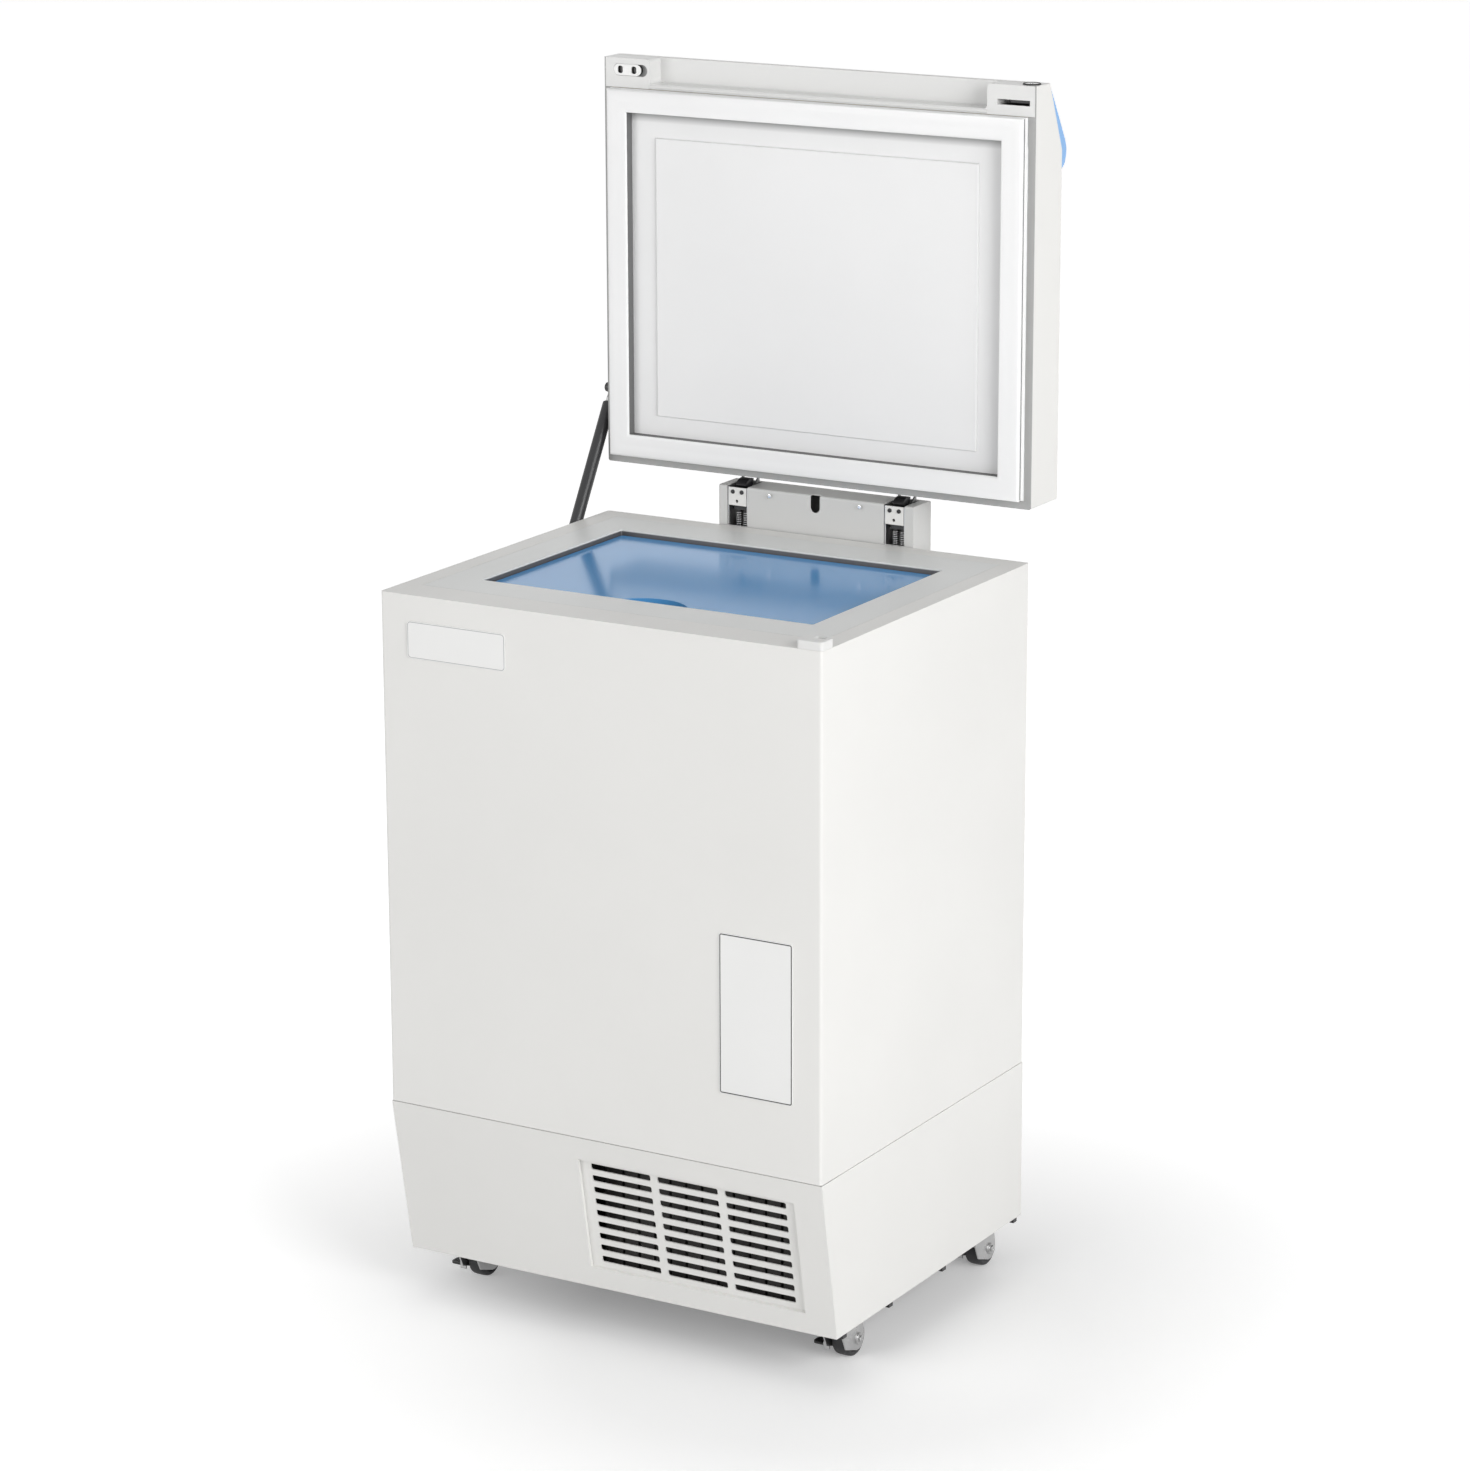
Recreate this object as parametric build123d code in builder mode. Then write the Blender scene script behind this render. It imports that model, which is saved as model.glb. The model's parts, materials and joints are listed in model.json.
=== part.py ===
from build123d import *
import os
from math import cos, hypot, radians, sin

# Small ultra low temperature chest freezer, lid standing open.
# Millimetres, +Z up, front towards -Y, floor at Z = 0.
# The origin is the middle of the whole object's footprint at rest.

# Driving dimensions of the cabinet
cabinet_width = 655.0
cabinet_depth = 558.0
cabinet_top = 985.0
seam_height = 289.5
base_height = 67.5
kick_setback = 41.0
sheet = 1.5
edge_radius = 4.0
fit = 0.3
running_fit = 0.05
past = 1.0

# Driving dimensions of the cold chamber
chamber_width = 430.0
chamber_length = 305.0
chamber_depth = 425.0
chamber_radius = 25.0
chamber_wall = 1.2
throat_width = 497.0
throat_length = 347.0
throat_front = 117.0
throat_depth = 48.0
throat_wall = 3.0
throat_radius = 3.0
collar_thickness = 6.0
side_flange = 28.5
front_flange = 54.0
rear_flange = 28.0

# Driving dimensions of the lid and its hinge line
lid_thickness = 78.9
lid_nose = 41.8
lid_slope = 91.0
lid_edge_radius = 3.0
lid_flange = 10.5
lid_gap = 17.1
hinge_behind = 27.5
hinge_up = 43.0
gasket_height = 16.8
gasket_width = 31.0
gasket_side = 11.6
gasket_front = 40.6
gasket_rear = 12.2
console_proud = 14.6
console_length = 118.0
grip_depth = 28.6
grip_reach = 33.0
corner_block = 71.5

# Driving dimensions of the strut
strut_radius = 8.75
strut_gap = 2.0
strut_length = 400.0
strut_tube_length = 195.0
strut_rod_radius = 4.0
strut_lean = 30.3
stud_radius = 4.0
stud_head_proud = 2.5
stud_up = 123.7
stud_back = 5.5

# Driving dimensions of the casters
wheel_radius = 25.0
wheel_width = 24.0
caster_side = 43.5
caster_front = 123.0
caster_rear = 63.0
caster_trail = 27.0

# Rise of the plates on the front
plate_rise = 1.2

# Places worked out from the sizes above
half = cabinet_width / 2
hinge_back = cabinet_depth + hinge_behind
lid_plane = hinge_back + lid_gap - hinge_up
lid_low = cabinet_top + hinge_up + hinge_behind
lid_high = lid_low + cabinet_depth
lid_top = lid_high - cabinet_top
console_rise = lid_thickness + console_proud
console_back = lid_plane + console_rise
strut_reach = strut_gap + 2 * strut_radius + stud_head_proud
mid = strut_reach / 2
front = -(console_back - plate_rise) / 2
middle_y = front + cabinet_depth / 2
axis_z = cabinet_top + hinge_up
throat_y = front + throat_front + throat_length / 2
throat_foot = cabinet_top - throat_depth

os.makedirs("parts", exist_ok=True)


def slab(x, y, z, mode=Mode.ADD):
    """A block between two x, y and z values, x from the middle plane and y from the front face."""
    size = [abs(pair[1] - pair[0]) for pair in (x, y, z)]
    with Locations((mid + sum(x) / 2, front + sum(y) / 2, sum(z) / 2)):
        Box(*size, mode=mode)


def lid_block(x, back, rise, mode=Mode.ADD):
    """A block in the open lid: back is measured from its front edge, rise from its inner face."""
    slab(x, (lid_plane + rise[0], lid_plane + rise[1]), (lid_high - back[1], lid_high - back[0]), mode)


def rod_x(x, y, z, radius, mode=Mode.ADD):
    """A round bar along X between two x values."""
    with Locations(Location((mid + sum(x) / 2, front + y, z), (0, 90, 0))):
        Cylinder(radius, abs(x[1] - x[0]), mode=mode)


def rod_y(x, y, z, radius, mode=Mode.ADD):
    """A round bar along Y between two y values."""
    with Locations(Location((mid + x, front + sum(y) / 2, z), (90, 0, 0))):
        Cylinder(radius, abs(y[1] - y[0]), mode=mode)


def rod_z(x, y, z, radius, mode=Mode.ADD):
    """A round bar along Z between two z values."""
    with Locations((mid + x, front + y, sum(z) / 2)):
        Cylinder(radius, abs(z[1] - z[0]), mode=mode)


def section(points, x, mode=Mode.ADD):
    """A straight bar along X; its section is given as (y, z), z measured from the cabinet top."""
    plane = Plane(origin=(mid + x[0], front, cabinet_top), x_dir=(0, 1, 0), z_dir=(1, 0, 0))
    with BuildSketch(plane) as face:
        with BuildLine():
            Polyline(*points, close=True)
        make_face()
    extrude(face.sketch, amount=x[1] - x[0], mode=mode)


def lid_section(points, x, mode=Mode.ADD):
    """A bar along X in the open lid; its section is given as (rise, back)."""
    section([(lid_plane + rise, lid_top - back) for rise, back in points], x, mode)


def span(side, inner, outer):
    """The x range between two distances from a middle plane, on its left or right side."""
    return tuple(sorted((side * inner, side * outer)))


def around(middle, reach):
    """The range that reaches equally to both sides of a middle."""
    return (middle - reach, middle + reach)


def save(part, name):
    part.label = name
    export_step(part, "parts/" + name + ".step")
    print(name, round(part.volume / 1000, 2), "cm3")


# Cabinet shell: a painted sheet wrap with a folded top flange
shell_low = seam_height + fit
with BuildPart() as cabinet_shell:
    with BuildSketch(Plane((mid, middle_y, shell_low))):
        RectangleRounded(cabinet_width, cabinet_depth, edge_radius)
    extrude(amount=cabinet_top - shell_low)
    with BuildSketch(Plane((mid, middle_y, shell_low))):
        RectangleRounded(cabinet_width - 2 * sheet, cabinet_depth - 2 * sheet, edge_radius - sheet)
    extrude(amount=cabinet_top - shell_low - sheet, mode=Mode.SUBTRACT)
    slab((-half + side_flange, half - side_flange), (front_flange, cabinet_depth - rear_flange),
         (cabinet_top - 2 * sheet, cabinet_top + past), Mode.SUBTRACT)
save(cabinet_shell.part, "cabinet_shell")

# Cabinet floor: the sheet that closes the foamed body from below
lining = sheet + fit
lining_width = cabinet_width - 2 * lining
lining_depth = cabinet_depth - 2 * lining
with BuildPart() as cabinet_floor:
    with BuildSketch(Plane((mid, middle_y, shell_low))):
        RectangleRounded(lining_width, lining_depth, edge_radius - sheet)
    extrude(amount=sheet)
save(cabinet_floor.part, "cabinet_floor")

# Cold chamber: a welded open box with a flange that carries the throat
chamber_floor = throat_foot - chamber_depth
throat_outer = (throat_width + 2 * throat_wall, throat_length + 2 * throat_wall)
tank_outer = (chamber_width + 2 * chamber_wall, chamber_length + 2 * chamber_wall)
with BuildPart() as inner_tank:
    with BuildSketch(Plane((mid, throat_y, chamber_floor - chamber_wall))):
        RectangleRounded(*tank_outer, chamber_radius + chamber_wall)
    extrude(amount=chamber_depth + chamber_wall)
    with BuildSketch(Plane((mid, throat_y, throat_foot - chamber_wall))):
        Rectangle(*throat_outer)
    extrude(amount=chamber_wall)
    with BuildSketch(Plane((mid, throat_y, chamber_floor))):
        RectangleRounded(chamber_width, chamber_length, chamber_radius)
    extrude(amount=chamber_depth + past, mode=Mode.SUBTRACT)
save(inner_tank.part, "inner_tank")

# Top collar: a moulded frame whose lip lines the throat down to the chamber
groove = 0.8
collar_x = half - side_flange - groove
collar_y = (front_flange + groove, cabinet_depth - rear_flange - groove)
with BuildPart() as top_collar:
    slab((-collar_x, collar_x), collar_y, (cabinet_top - collar_thickness, cabinet_top))
    with BuildSketch(Plane((mid, throat_y, throat_foot + fit))):
        Rectangle(*throat_outer)
    extrude(amount=throat_depth - fit - collar_thickness / 2)
    with BuildSketch(Plane((mid, throat_y, throat_foot))):
        RectangleRounded(throat_width, throat_length, throat_radius)
    extrude(amount=throat_depth + past, mode=Mode.SUBTRACT)
save(top_collar.part, "top_collar")

# Insulation: the foam body between the shell, the collar and the chamber
foam_low = shell_low + sheet + fit
with BuildPart() as insulation_foam:
    with BuildSketch(Plane((mid, middle_y, foam_low))):
        RectangleRounded(lining_width, lining_depth, edge_radius - sheet)
    extrude(amount=cabinet_top - lining - foam_low)
    slab((-collar_x - fit, collar_x + fit), (collar_y[0] - fit, collar_y[1] + fit),
         (cabinet_top - collar_thickness - fit, cabinet_top), Mode.SUBTRACT)
    with BuildSketch(Plane((mid, throat_y, throat_foot - chamber_wall - fit))):
        Rectangle(throat_outer[0] + 2 * fit, throat_outer[1] + 2 * fit)
    extrude(amount=throat_depth + chamber_wall + fit, mode=Mode.SUBTRACT)
    with BuildSketch(Plane((mid, throat_y, chamber_floor - chamber_wall - fit))):
        RectangleRounded(tank_outer[0] + 2 * fit, tank_outer[1] + 2 * fit, chamber_radius + chamber_wall + fit)
    extrude(amount=chamber_depth, mode=Mode.SUBTRACT)
save(insulation_foam.part, "insulation_foam")

# Inner cover: a glossy moulded skin on a foam plug, with a finger dish at its front edge
cover_gap = 2.0
cover_drop = 8.0
cover_skin_thickness = 3.0
dish_radius = 60.0
dish_overhang = 8.0
dish_depth = 11.0
plug_inset = 1.0
cover_width = throat_width - 2 * cover_gap
cover_length = throat_length - 2 * cover_gap
cover_top = cabinet_top - cover_drop
cover_low = cover_top - cover_skin_thickness
dish_offset = -throat_length / 2 - dish_overhang
with BuildPart() as cover_skin:
    with BuildSketch(Plane((mid, throat_y, cover_low))):
        RectangleRounded(cover_width, cover_length, throat_radius)
    extrude(amount=cover_skin_thickness)
    with BuildSketch(Plane((mid, throat_y, cover_low - dish_depth))):
        with Locations((0, dish_offset)):
            Circle(dish_radius + cover_skin_thickness)
        Rectangle(cover_width, cover_length, mode=Mode.INTERSECT)
    extrude(amount=dish_depth + cover_skin_thickness / 2)
    with BuildSketch(Plane((mid, throat_y, cover_top - dish_depth))):
        with Locations((0, dish_offset)):
            Circle(dish_radius)
    extrude(amount=dish_depth + past, mode=Mode.SUBTRACT)
save(cover_skin.part, "cover_skin")

with BuildPart() as cover_foam:
    with BuildSketch(Plane((mid, throat_y, throat_foot + fit))):
        RectangleRounded(cover_width - 2 * plug_inset, cover_length - 2 * plug_inset, throat_radius)
    extrude(amount=cover_low - throat_foot - 2 * fit)
    with BuildSketch(Plane((mid, throat_y, cover_low - dish_depth - fit))):
        with Locations((0, dish_offset)):
            Circle(dish_radius + cover_skin_thickness + fit)
    extrude(amount=dish_depth + 2 * fit, mode=Mode.SUBTRACT)
save(cover_foam.part, "cover_foam")

# Strike block: the moulded corner block that takes the lock's cam
lock_inset = 15.0
lock_x = half - lock_inset
cam_width = 10.0
cam_thickness = 4.0
cam_middle = 22.7
strike_width = 37.0
strike_depth = 29.0
strike_height = 11.2
strike_inset = 0.5
strike_setback = 1.0
strike_floor = 0.8
strike_corner = 4.0
strike_hole = (cam_width + 5.0, cam_thickness + 6.0)
strike_hole_radius = 3.0
with BuildPart() as strike_block:
    slab((half - strike_inset - strike_width, half - strike_inset), (strike_setback, strike_setback + strike_depth),
         (cabinet_top, cabinet_top + strike_height))
    fillet(strike_block.edges().filter_by(Axis.Z), strike_corner)
    chamfer(strike_block.faces().sort_by(Axis.Z)[-1].edges(), strike_floor)
    with BuildSketch(Plane((mid + lock_x, front + cam_middle, cabinet_top + strike_floor))):
        RectangleRounded(*strike_hole, strike_hole_radius)
    extrude(amount=strike_height, mode=Mode.SUBTRACT)
save(strike_block.part, "strike_block")

# Lower cabinet: side panels with folded flanges, and a kick panel that slopes back to its foot
seam_gap = 0.8
base_flange = 12.0
panel_top = seam_height - seam_gap
flange_fold = seam_gap + 1.3
kick_height = seam_height - base_height
kick_length = hypot(kick_height, kick_setback)
kick_normal = (0, -kick_height / kick_length, -kick_setback / kick_length)
kick_plane = Plane(origin=(mid, front, seam_height), x_dir=(1, 0, 0), z_dir=kick_normal)
for side, name in ((-1, "side_panel_left"), (1, "side_panel_right")):
    with BuildPart() as side_panel:
        rim = [(lining, panel_top - cabinet_top), (cabinet_depth, panel_top - cabinet_top),
               (cabinet_depth, base_height - cabinet_top), (kick_setback + lining, base_height - cabinet_top)]
        section(rim, span(side, half - sheet, half))
        for fold in ((base_height, base_height + sheet), (seam_height - flange_fold, seam_height)):
            slab(span(side, half - base_flange, half - sheet),
                 (kick_setback + 2 * lining, cabinet_depth - lining), fold)
    save(side_panel.part, name)

# Grille: three columns of slots in a plate, seated behind a shallow recess of the kick panel
grille_side = 43.3
grille_width = 324.0
grille_start = 33.5
grille_height = 162.3
grille_recess = 5.0
grille_overlap = 6.0
grille_thickness = 2.0
grille_margin = 15.6
grille_head = 5.8
grille_foot = 9.1
slot_columns = 3
slot_rows = 9
slot_gap = 10.7
slot_height = 9.0
slot_radius = 2.5
grille_x = half - grille_side - grille_width / 2
grille_middle = grille_start + grille_height / 2
slot_pitch_x = (grille_width - 2 * grille_margin + slot_gap) / slot_columns
slot_pitch_y = (grille_height - grille_head - grille_foot + slot_height) / slot_rows
slot_rise = (grille_foot - grille_head) / 2
with BuildPart() as kick_panel:
    with BuildSketch(kick_plane):
        with Locations((0, -(kick_length + seam_gap) / 2)):
            Rectangle(cabinet_width, kick_length - seam_gap)
    extrude(amount=-sheet)
    with BuildSketch(kick_plane):
        with Locations((grille_x, -grille_middle)):
            Rectangle(grille_width + 2 * sheet, grille_height + 2 * sheet)
    extrude(amount=-grille_recess)
    with BuildSketch(kick_plane):
        with Locations((grille_x, -grille_middle)):
            Rectangle(grille_width, grille_height)
    extrude(amount=-grille_recess - past, mode=Mode.SUBTRACT)
save(kick_panel.part, "kick_panel")

with BuildPart() as front_grille:
    with BuildSketch(kick_plane.offset(-grille_recess - fit)):
        with Locations((grille_x, -grille_middle)):
            Rectangle(grille_width + 2 * grille_overlap, grille_height + 2 * grille_overlap)
        with Locations((grille_x, -grille_middle + slot_rise)):
            with GridLocations(slot_pitch_x, slot_pitch_y, slot_columns, slot_rows):
                RectangleRounded(slot_pitch_x - slot_gap, slot_height, slot_radius, mode=Mode.SUBTRACT)
    extrude(amount=-grille_thickness)
save(front_grille.part, "front_grille")

# Rear cover: a slotted sheet that closes the machine compartment, with the power inlet
inlet_side = 112.5
inlet_z = 120.0
inlet_width = 48.0
inlet_height = 28.0
inlet_depth = 30.0
inlet_rim = 5.0
inlet_rim_thickness = 3.0
inlet_wall = 11.0
inlet_bore = 16.0
inlet_pin = (2.0, 12.0, 5.0)
inlet_pins = ((-7.0, -2.0), (0.0, 3.0), (7.0, -2.0))
vent_columns = 3
vent_rows = 8
vent_height = 5.0
vent_pitch = 15.0
vent_gap = 50.0
vent_side = 110.0
vent_rise = 22.0
inlet_x = half - inlet_side
vent_length = (cabinet_width - 2 * vent_side - (vent_columns - 1) * vent_gap) / vent_columns
vent_plane = Plane(origin=(mid, front + cabinet_depth, (base_height + panel_top) / 2 + vent_rise),
                   x_dir=(-1, 0, 0), z_dir=(0, 1, 0))
with BuildPart() as rear_cover:
    slab((-half + lining, half - lining), (cabinet_depth - sheet, cabinet_depth), (base_height, panel_top))
    with BuildSketch(vent_plane):
        with GridLocations(vent_length + vent_gap, vent_pitch, vent_columns, vent_rows):
            Rectangle(vent_length, vent_height)
    extrude(amount=-2 * sheet, mode=Mode.SUBTRACT)
    slab(around(inlet_x, inlet_width / 2), (cabinet_depth - 2 * sheet, cabinet_depth + past),
         around(inlet_z, inlet_height / 2), Mode.SUBTRACT)
save(rear_cover.part, "rear_cover")

with BuildPart() as power_inlet:
    slab(around(inlet_x, inlet_width / 2 - fit), (cabinet_depth - inlet_depth, cabinet_depth + fit),
         around(inlet_z, inlet_height / 2 - fit))
    slab(around(inlet_x, inlet_width / 2 + inlet_rim), (cabinet_depth + fit, cabinet_depth + inlet_rim_thickness),
         around(inlet_z, inlet_height / 2 + inlet_rim))
    slab(around(inlet_x, inlet_width / 2 - inlet_wall),
         (cabinet_depth - inlet_bore, cabinet_depth + inlet_rim_thickness + past),
         around(inlet_z, (inlet_height - inlet_wall) / 2), Mode.SUBTRACT)
    for pin_x, pin_z in inlet_pins:
        slab(around(inlet_x + pin_x, inlet_pin[0] / 2),
             (cabinet_depth - inlet_bore - past, cabinet_depth - inlet_bore + inlet_pin[1]),
             around(inlet_z + pin_z, inlet_pin[2] / 2))
save(power_inlet.part, "power_inlet")

# Chassis: a pan with raised edges on four cross rails
pan_thickness = 2.0
pan_inset = 14.0
pan_lip = 18.0
rail_width = 10.0
rail_drop = 8.0
rail_inset = 3.0
rail_ahead = 55.0
rail_behind = 69.0
rear_rail_ahead = 155.0
rear_rail_behind = 52.0
rear_swivel = cabinet_depth - caster_rear
rail_places = (caster_front - rail_ahead, caster_front + rail_behind,
               rear_swivel - rear_rail_ahead, rear_swivel + rear_rail_behind)
pan_top = base_height + pan_thickness
pan_y = (kick_setback + pan_inset, cabinet_depth - lining)
with BuildPart() as base_chassis:
    slab((-half + pan_inset, half - pan_inset), pan_y, (base_height, pan_top))
    for side in (-1, 1):
        slab(span(side, half - pan_inset - pan_thickness, half - pan_inset), pan_y,
             (base_height, base_height + pan_lip))
    for place in rail_places:
        slab((-half + rail_inset, half - rail_inset), around(place, rail_width / 2),
             (base_height - rail_drop, base_height))
save(base_chassis.part, "base_chassis")

# Condenser: a finned block between two end plates, with tubes that run through
condenser_inset = 12.0
condenser_behind = 19.0
condenser_depth = 28.0
condenser_lift = 22.5
condenser_drop = 27.5
end_plate = 3.0
end_proud = 4.0
end_rise = 6.0
fin_pitch = 24.0
fin_gap = 4.0
fin_depth = 9.0
fin_margin = 3.0
tube_count = 4
tube_radius = 4.0
tube_proud = 12.0
condenser_x = around(grille_x, grille_width / 2 - condenser_inset)
condenser_y = (kick_setback + condenser_behind, kick_setback + condenser_behind + condenser_depth)
condenser_z = (pan_top + condenser_lift, seam_height - condenser_drop)
tube_pitch = (condenser_z[1] - condenser_z[0]) / tube_count
fin_count = int((condenser_x[1] - condenser_x[0]) / fin_pitch)
with BuildPart() as condenser:
    slab(condenser_x, condenser_y, condenser_z)
    for step in range(1, fin_count):
        place = condenser_x[0] + fin_pitch * step
        for face in condenser_y:
            slab(around(place, fin_gap / 2), around(face, fin_depth),
                 (condenser_z[0] + fin_margin, condenser_z[1] - fin_margin), Mode.SUBTRACT)
    for end in condenser_x:
        slab(around(end, end_plate / 2), (condenser_y[0] - end_proud, condenser_y[1] + end_proud),
             (pan_top + fit, condenser_z[1] + end_rise))
    for step in range(tube_count):
        rod_x((condenser_x[0] - tube_proud, condenser_x[1] + tube_proud), sum(condenser_y) / 2,
              condenser_z[0] + tube_pitch * (step + 0.5), tube_radius)
save(condenser.part, "condenser")

# Fan: a shroud plate with a strap that carries the motor, and a five blade rotor on its shaft
fan_radius = 74.0
fan_tip_gap = 4.0
shroud_gap = 6.0
shroud_sheet = 2.0
shroud_margin = 17.0
strap_behind = 32.0
strap_sheet = 3.0
strap_half = 10.0
strap_post = 4.0
motor_radius = 28.0
motor_length = 40.0
motor_ear = 16.0
motor_ear_half = 8.0
shaft_radius = 4.0
shaft_length = 27.0
hub_radius = 20.0
hub_length = 22.0
hub_gap = 2.0
blade_count = 5
blade_chord = 30.0
blade_thickness = 2.0
blade_root = 4.0
blade_pitch = 30.0
fan_x = grille_x
fan_z = sum(condenser_z) / 2
shroud_y = condenser_y[1] + shroud_gap
strap_y = shroud_y + strap_behind
shroud_half = fan_radius + fan_tip_gap + shroud_margin
with BuildPart() as fan_shroud:
    slab(around(fan_x, shroud_half), (shroud_y, shroud_y + shroud_sheet), (pan_top + fit, condenser_z[1] + end_rise))
    rod_y(fan_x, (shroud_y - past, shroud_y + shroud_sheet + past), fan_z, fan_radius + fan_tip_gap, Mode.SUBTRACT)
    for side in (-1, 1):
        post = sorted((fan_x + side * (shroud_half - strap_post), fan_x + side * shroud_half))
        slab(post, (shroud_y, strap_y + strap_sheet), around(fan_z, strap_half))
        strap = sorted((fan_x + side * (motor_radius + fit), fan_x + side * shroud_half))
        slab(strap, (strap_y, strap_y + strap_sheet), around(fan_z, strap_half))
save(fan_shroud.part, "fan_shroud")

with BuildPart() as fan_motor:
    rod_y(fan_x, (strap_y, strap_y + motor_length), fan_z, motor_radius)
    rod_y(fan_x, (strap_y - shaft_length, strap_y), fan_z, shaft_radius)
    for side in (-1, 1):
        ear = sorted((fan_x + side * (motor_radius - strap_sheet), fan_x + side * (motor_radius + motor_ear)))
        slab(ear, (strap_y + strap_sheet + fit, strap_y + 2 * strap_sheet), around(fan_z, motor_ear_half))
save(fan_motor.part, "fan_motor")

hub_y = (strap_y - hub_gap - hub_length, strap_y - hub_gap)
with BuildPart() as fan_rotor:
    rod_y(fan_x, hub_y, fan_z, hub_radius)
    for step in range(blade_count):
        turn = radians(360 / blade_count * step)
        pitch = radians(blade_pitch)
        root = hub_radius - blade_root
        blade_plane = Plane(origin=(mid + fan_x + root * cos(turn), front + sum(hub_y) / 2, fan_z + root * sin(turn)),
                            x_dir=(-sin(turn) * cos(pitch), sin(pitch), cos(turn) * cos(pitch)),
                            z_dir=(cos(turn), 0, sin(turn)))
        with BuildSketch(blade_plane):
            Rectangle(blade_chord, blade_thickness)
        extrude(amount=fan_radius - root)
    rod_y(fan_x, (hub_y[0] - past, hub_y[1] + past), fan_z, shaft_radius + running_fit, Mode.SUBTRACT)
save(fan_rotor.part, "fan_rotor")

# Compressor: a domed steel pot on a foot plate with four rubber feet
compressor_side = 177.5
compressor_rear = 258.0
compressor_radius = 78.0
compressor_height = 170.0
compressor_dome = 38.0
compressor_foot = 12.0
foot_plate = 3.0
foot_half = (85.0, 60.0)
foot_inset = 13.0
foot_radius = 9.0
terminal_reach = 16.0
terminal_half = 22.0
terminal_z = (60.0, 108.0)
compressor_x = -half + compressor_side
compressor_y = cabinet_depth - compressor_rear
pot_low = pan_top + compressor_foot
with BuildPart() as compressor:
    rod_z(compressor_x, compressor_y, (pot_low, pot_low + compressor_height), compressor_radius)
    fillet(compressor.faces().sort_by(Axis.Z)[-1].edges(), compressor_dome)
    slab(around(compressor_x, foot_half[0]), around(compressor_y, foot_half[1]), (pot_low, pot_low + foot_plate))
    for side in (-1, 1):
        for end in (-1, 1):
            rod_z(compressor_x + side * (foot_half[0] - foot_inset), compressor_y + end * (foot_half[1] - foot_inset),
                  (pan_top + fit, pot_low + foot_plate / 2), foot_radius)
    slab((compressor_x, compressor_x + compressor_radius + terminal_reach), around(compressor_y, terminal_half),
         (pot_low + terminal_z[0], pot_low + terminal_z[1]))
save(compressor.part, "compressor")

# Control box: a closed sheet box on the chassis
box_side = (87.5, 267.5)
box_rear = (98.0, 228.0)
box_height = 120.0
box_corner = 4.0
with BuildPart() as control_box:
    slab((half - box_side[1], half - box_side[0]), (cabinet_depth - box_rear[1], cabinet_depth - box_rear[0]),
         (pan_top + fit, pan_top + box_height))
    chamfer(control_box.edges().filter_by(Axis.Z), box_corner)
save(control_box.part, "control_box")

# Blank plates on the front: a rounded one under the rim and a tall one low on the right
badge_side = 40.7
badge_drop = 34.0
badge_size = (150.8, 50.0)
badge_corner = 6.0
label_side = 41.1
label_lift = 99.5
label_size = (107.4, 214.0)
label_corner = 4.0
badge_x = (-half + badge_side, -half + badge_side + badge_size[0])
badge_z = (cabinet_top - badge_drop - badge_size[1], cabinet_top - badge_drop)
label_x = (half - label_side - label_size[0], half - label_side)
label_z = (seam_height + label_lift, seam_height + label_lift + label_size[1])
for name, plate_x, plate_z, corner in (("badge_plate", badge_x, badge_z, badge_corner),
                                       ("label_plate", label_x, label_z, label_corner)):
    with BuildPart() as plate:
        slab(plate_x, (-plate_rise, 0), plate_z)
        fillet(plate.edges().filter_by(Axis.Y), corner)
    save(plate.part, name)

# Counterbalance hinges: a folded cover over two spring channels, each with a pin and a lid arm
hinge_side = 122.0
cover_end = 29.0
cover_wall = 1.2
cover_behind = (3.5, 53.5)
cover_rise = 55.0
cover_fall = 150.0
cover_fold = 3.0
cover_foot = 1.0
window_half = 16.0
window_behind = 45.0
notch_width = 14.5
notch_floor = 31.0
notch_reach = 6.0
channel_half = 15.5
channel_sheet = 1.5
channel_behind = (5.0, 42.0)
channel_top = 53.0
channel_fall = 130.0
channel_step = 4.0
web_top = 34.0
pin_radius = 4.0
pin_half = 17.0
pin_edge = 0.8
seat_fall = 122.0
seat_sheet = 2.0
spring_radius = 3.6
spring_side = 5.5
spring_behind = 19.0
spring_top = 26.0
head_height = 6.0
head_half = 11.0
head_behind = 13.0
guide_half = 13.7
guide_behind = (3.5, 5.5)
guide_z = (28.0, 53.0)
guide_bore = 2.2
guide_holes = ((-7.0, 47.0), (7.0, 47.0), (-1.0, 34.0))
arm_plate = 1.2
arm_sheet = 2.0
arm_side = 13.0
arm_tab = (14.0, 30.0)
arm_behind = 10.0
arm_neck = ((-5.0, 6.0), (10.8, 19.0))
arm_heel = (6.0, -5.0)
arm_heel_rise = 4.0
ear_radius = 8.0
hinge_places = (-hinge_side, hinge_side)
cover_half = hinge_side + cover_end
back_edge = cabinet_depth + fit
cover_front = cabinet_depth + cover_behind[0]
cover_back = cabinet_depth + cover_behind[1]
channel_front = cabinet_depth + channel_behind[0]
channel_back = cabinet_depth + channel_behind[1]
guide_y = (cabinet_depth + guide_behind[0], cabinet_depth + guide_behind[1])
notch_middle = cabinet_top + notch_floor + notch_width / 2
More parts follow.
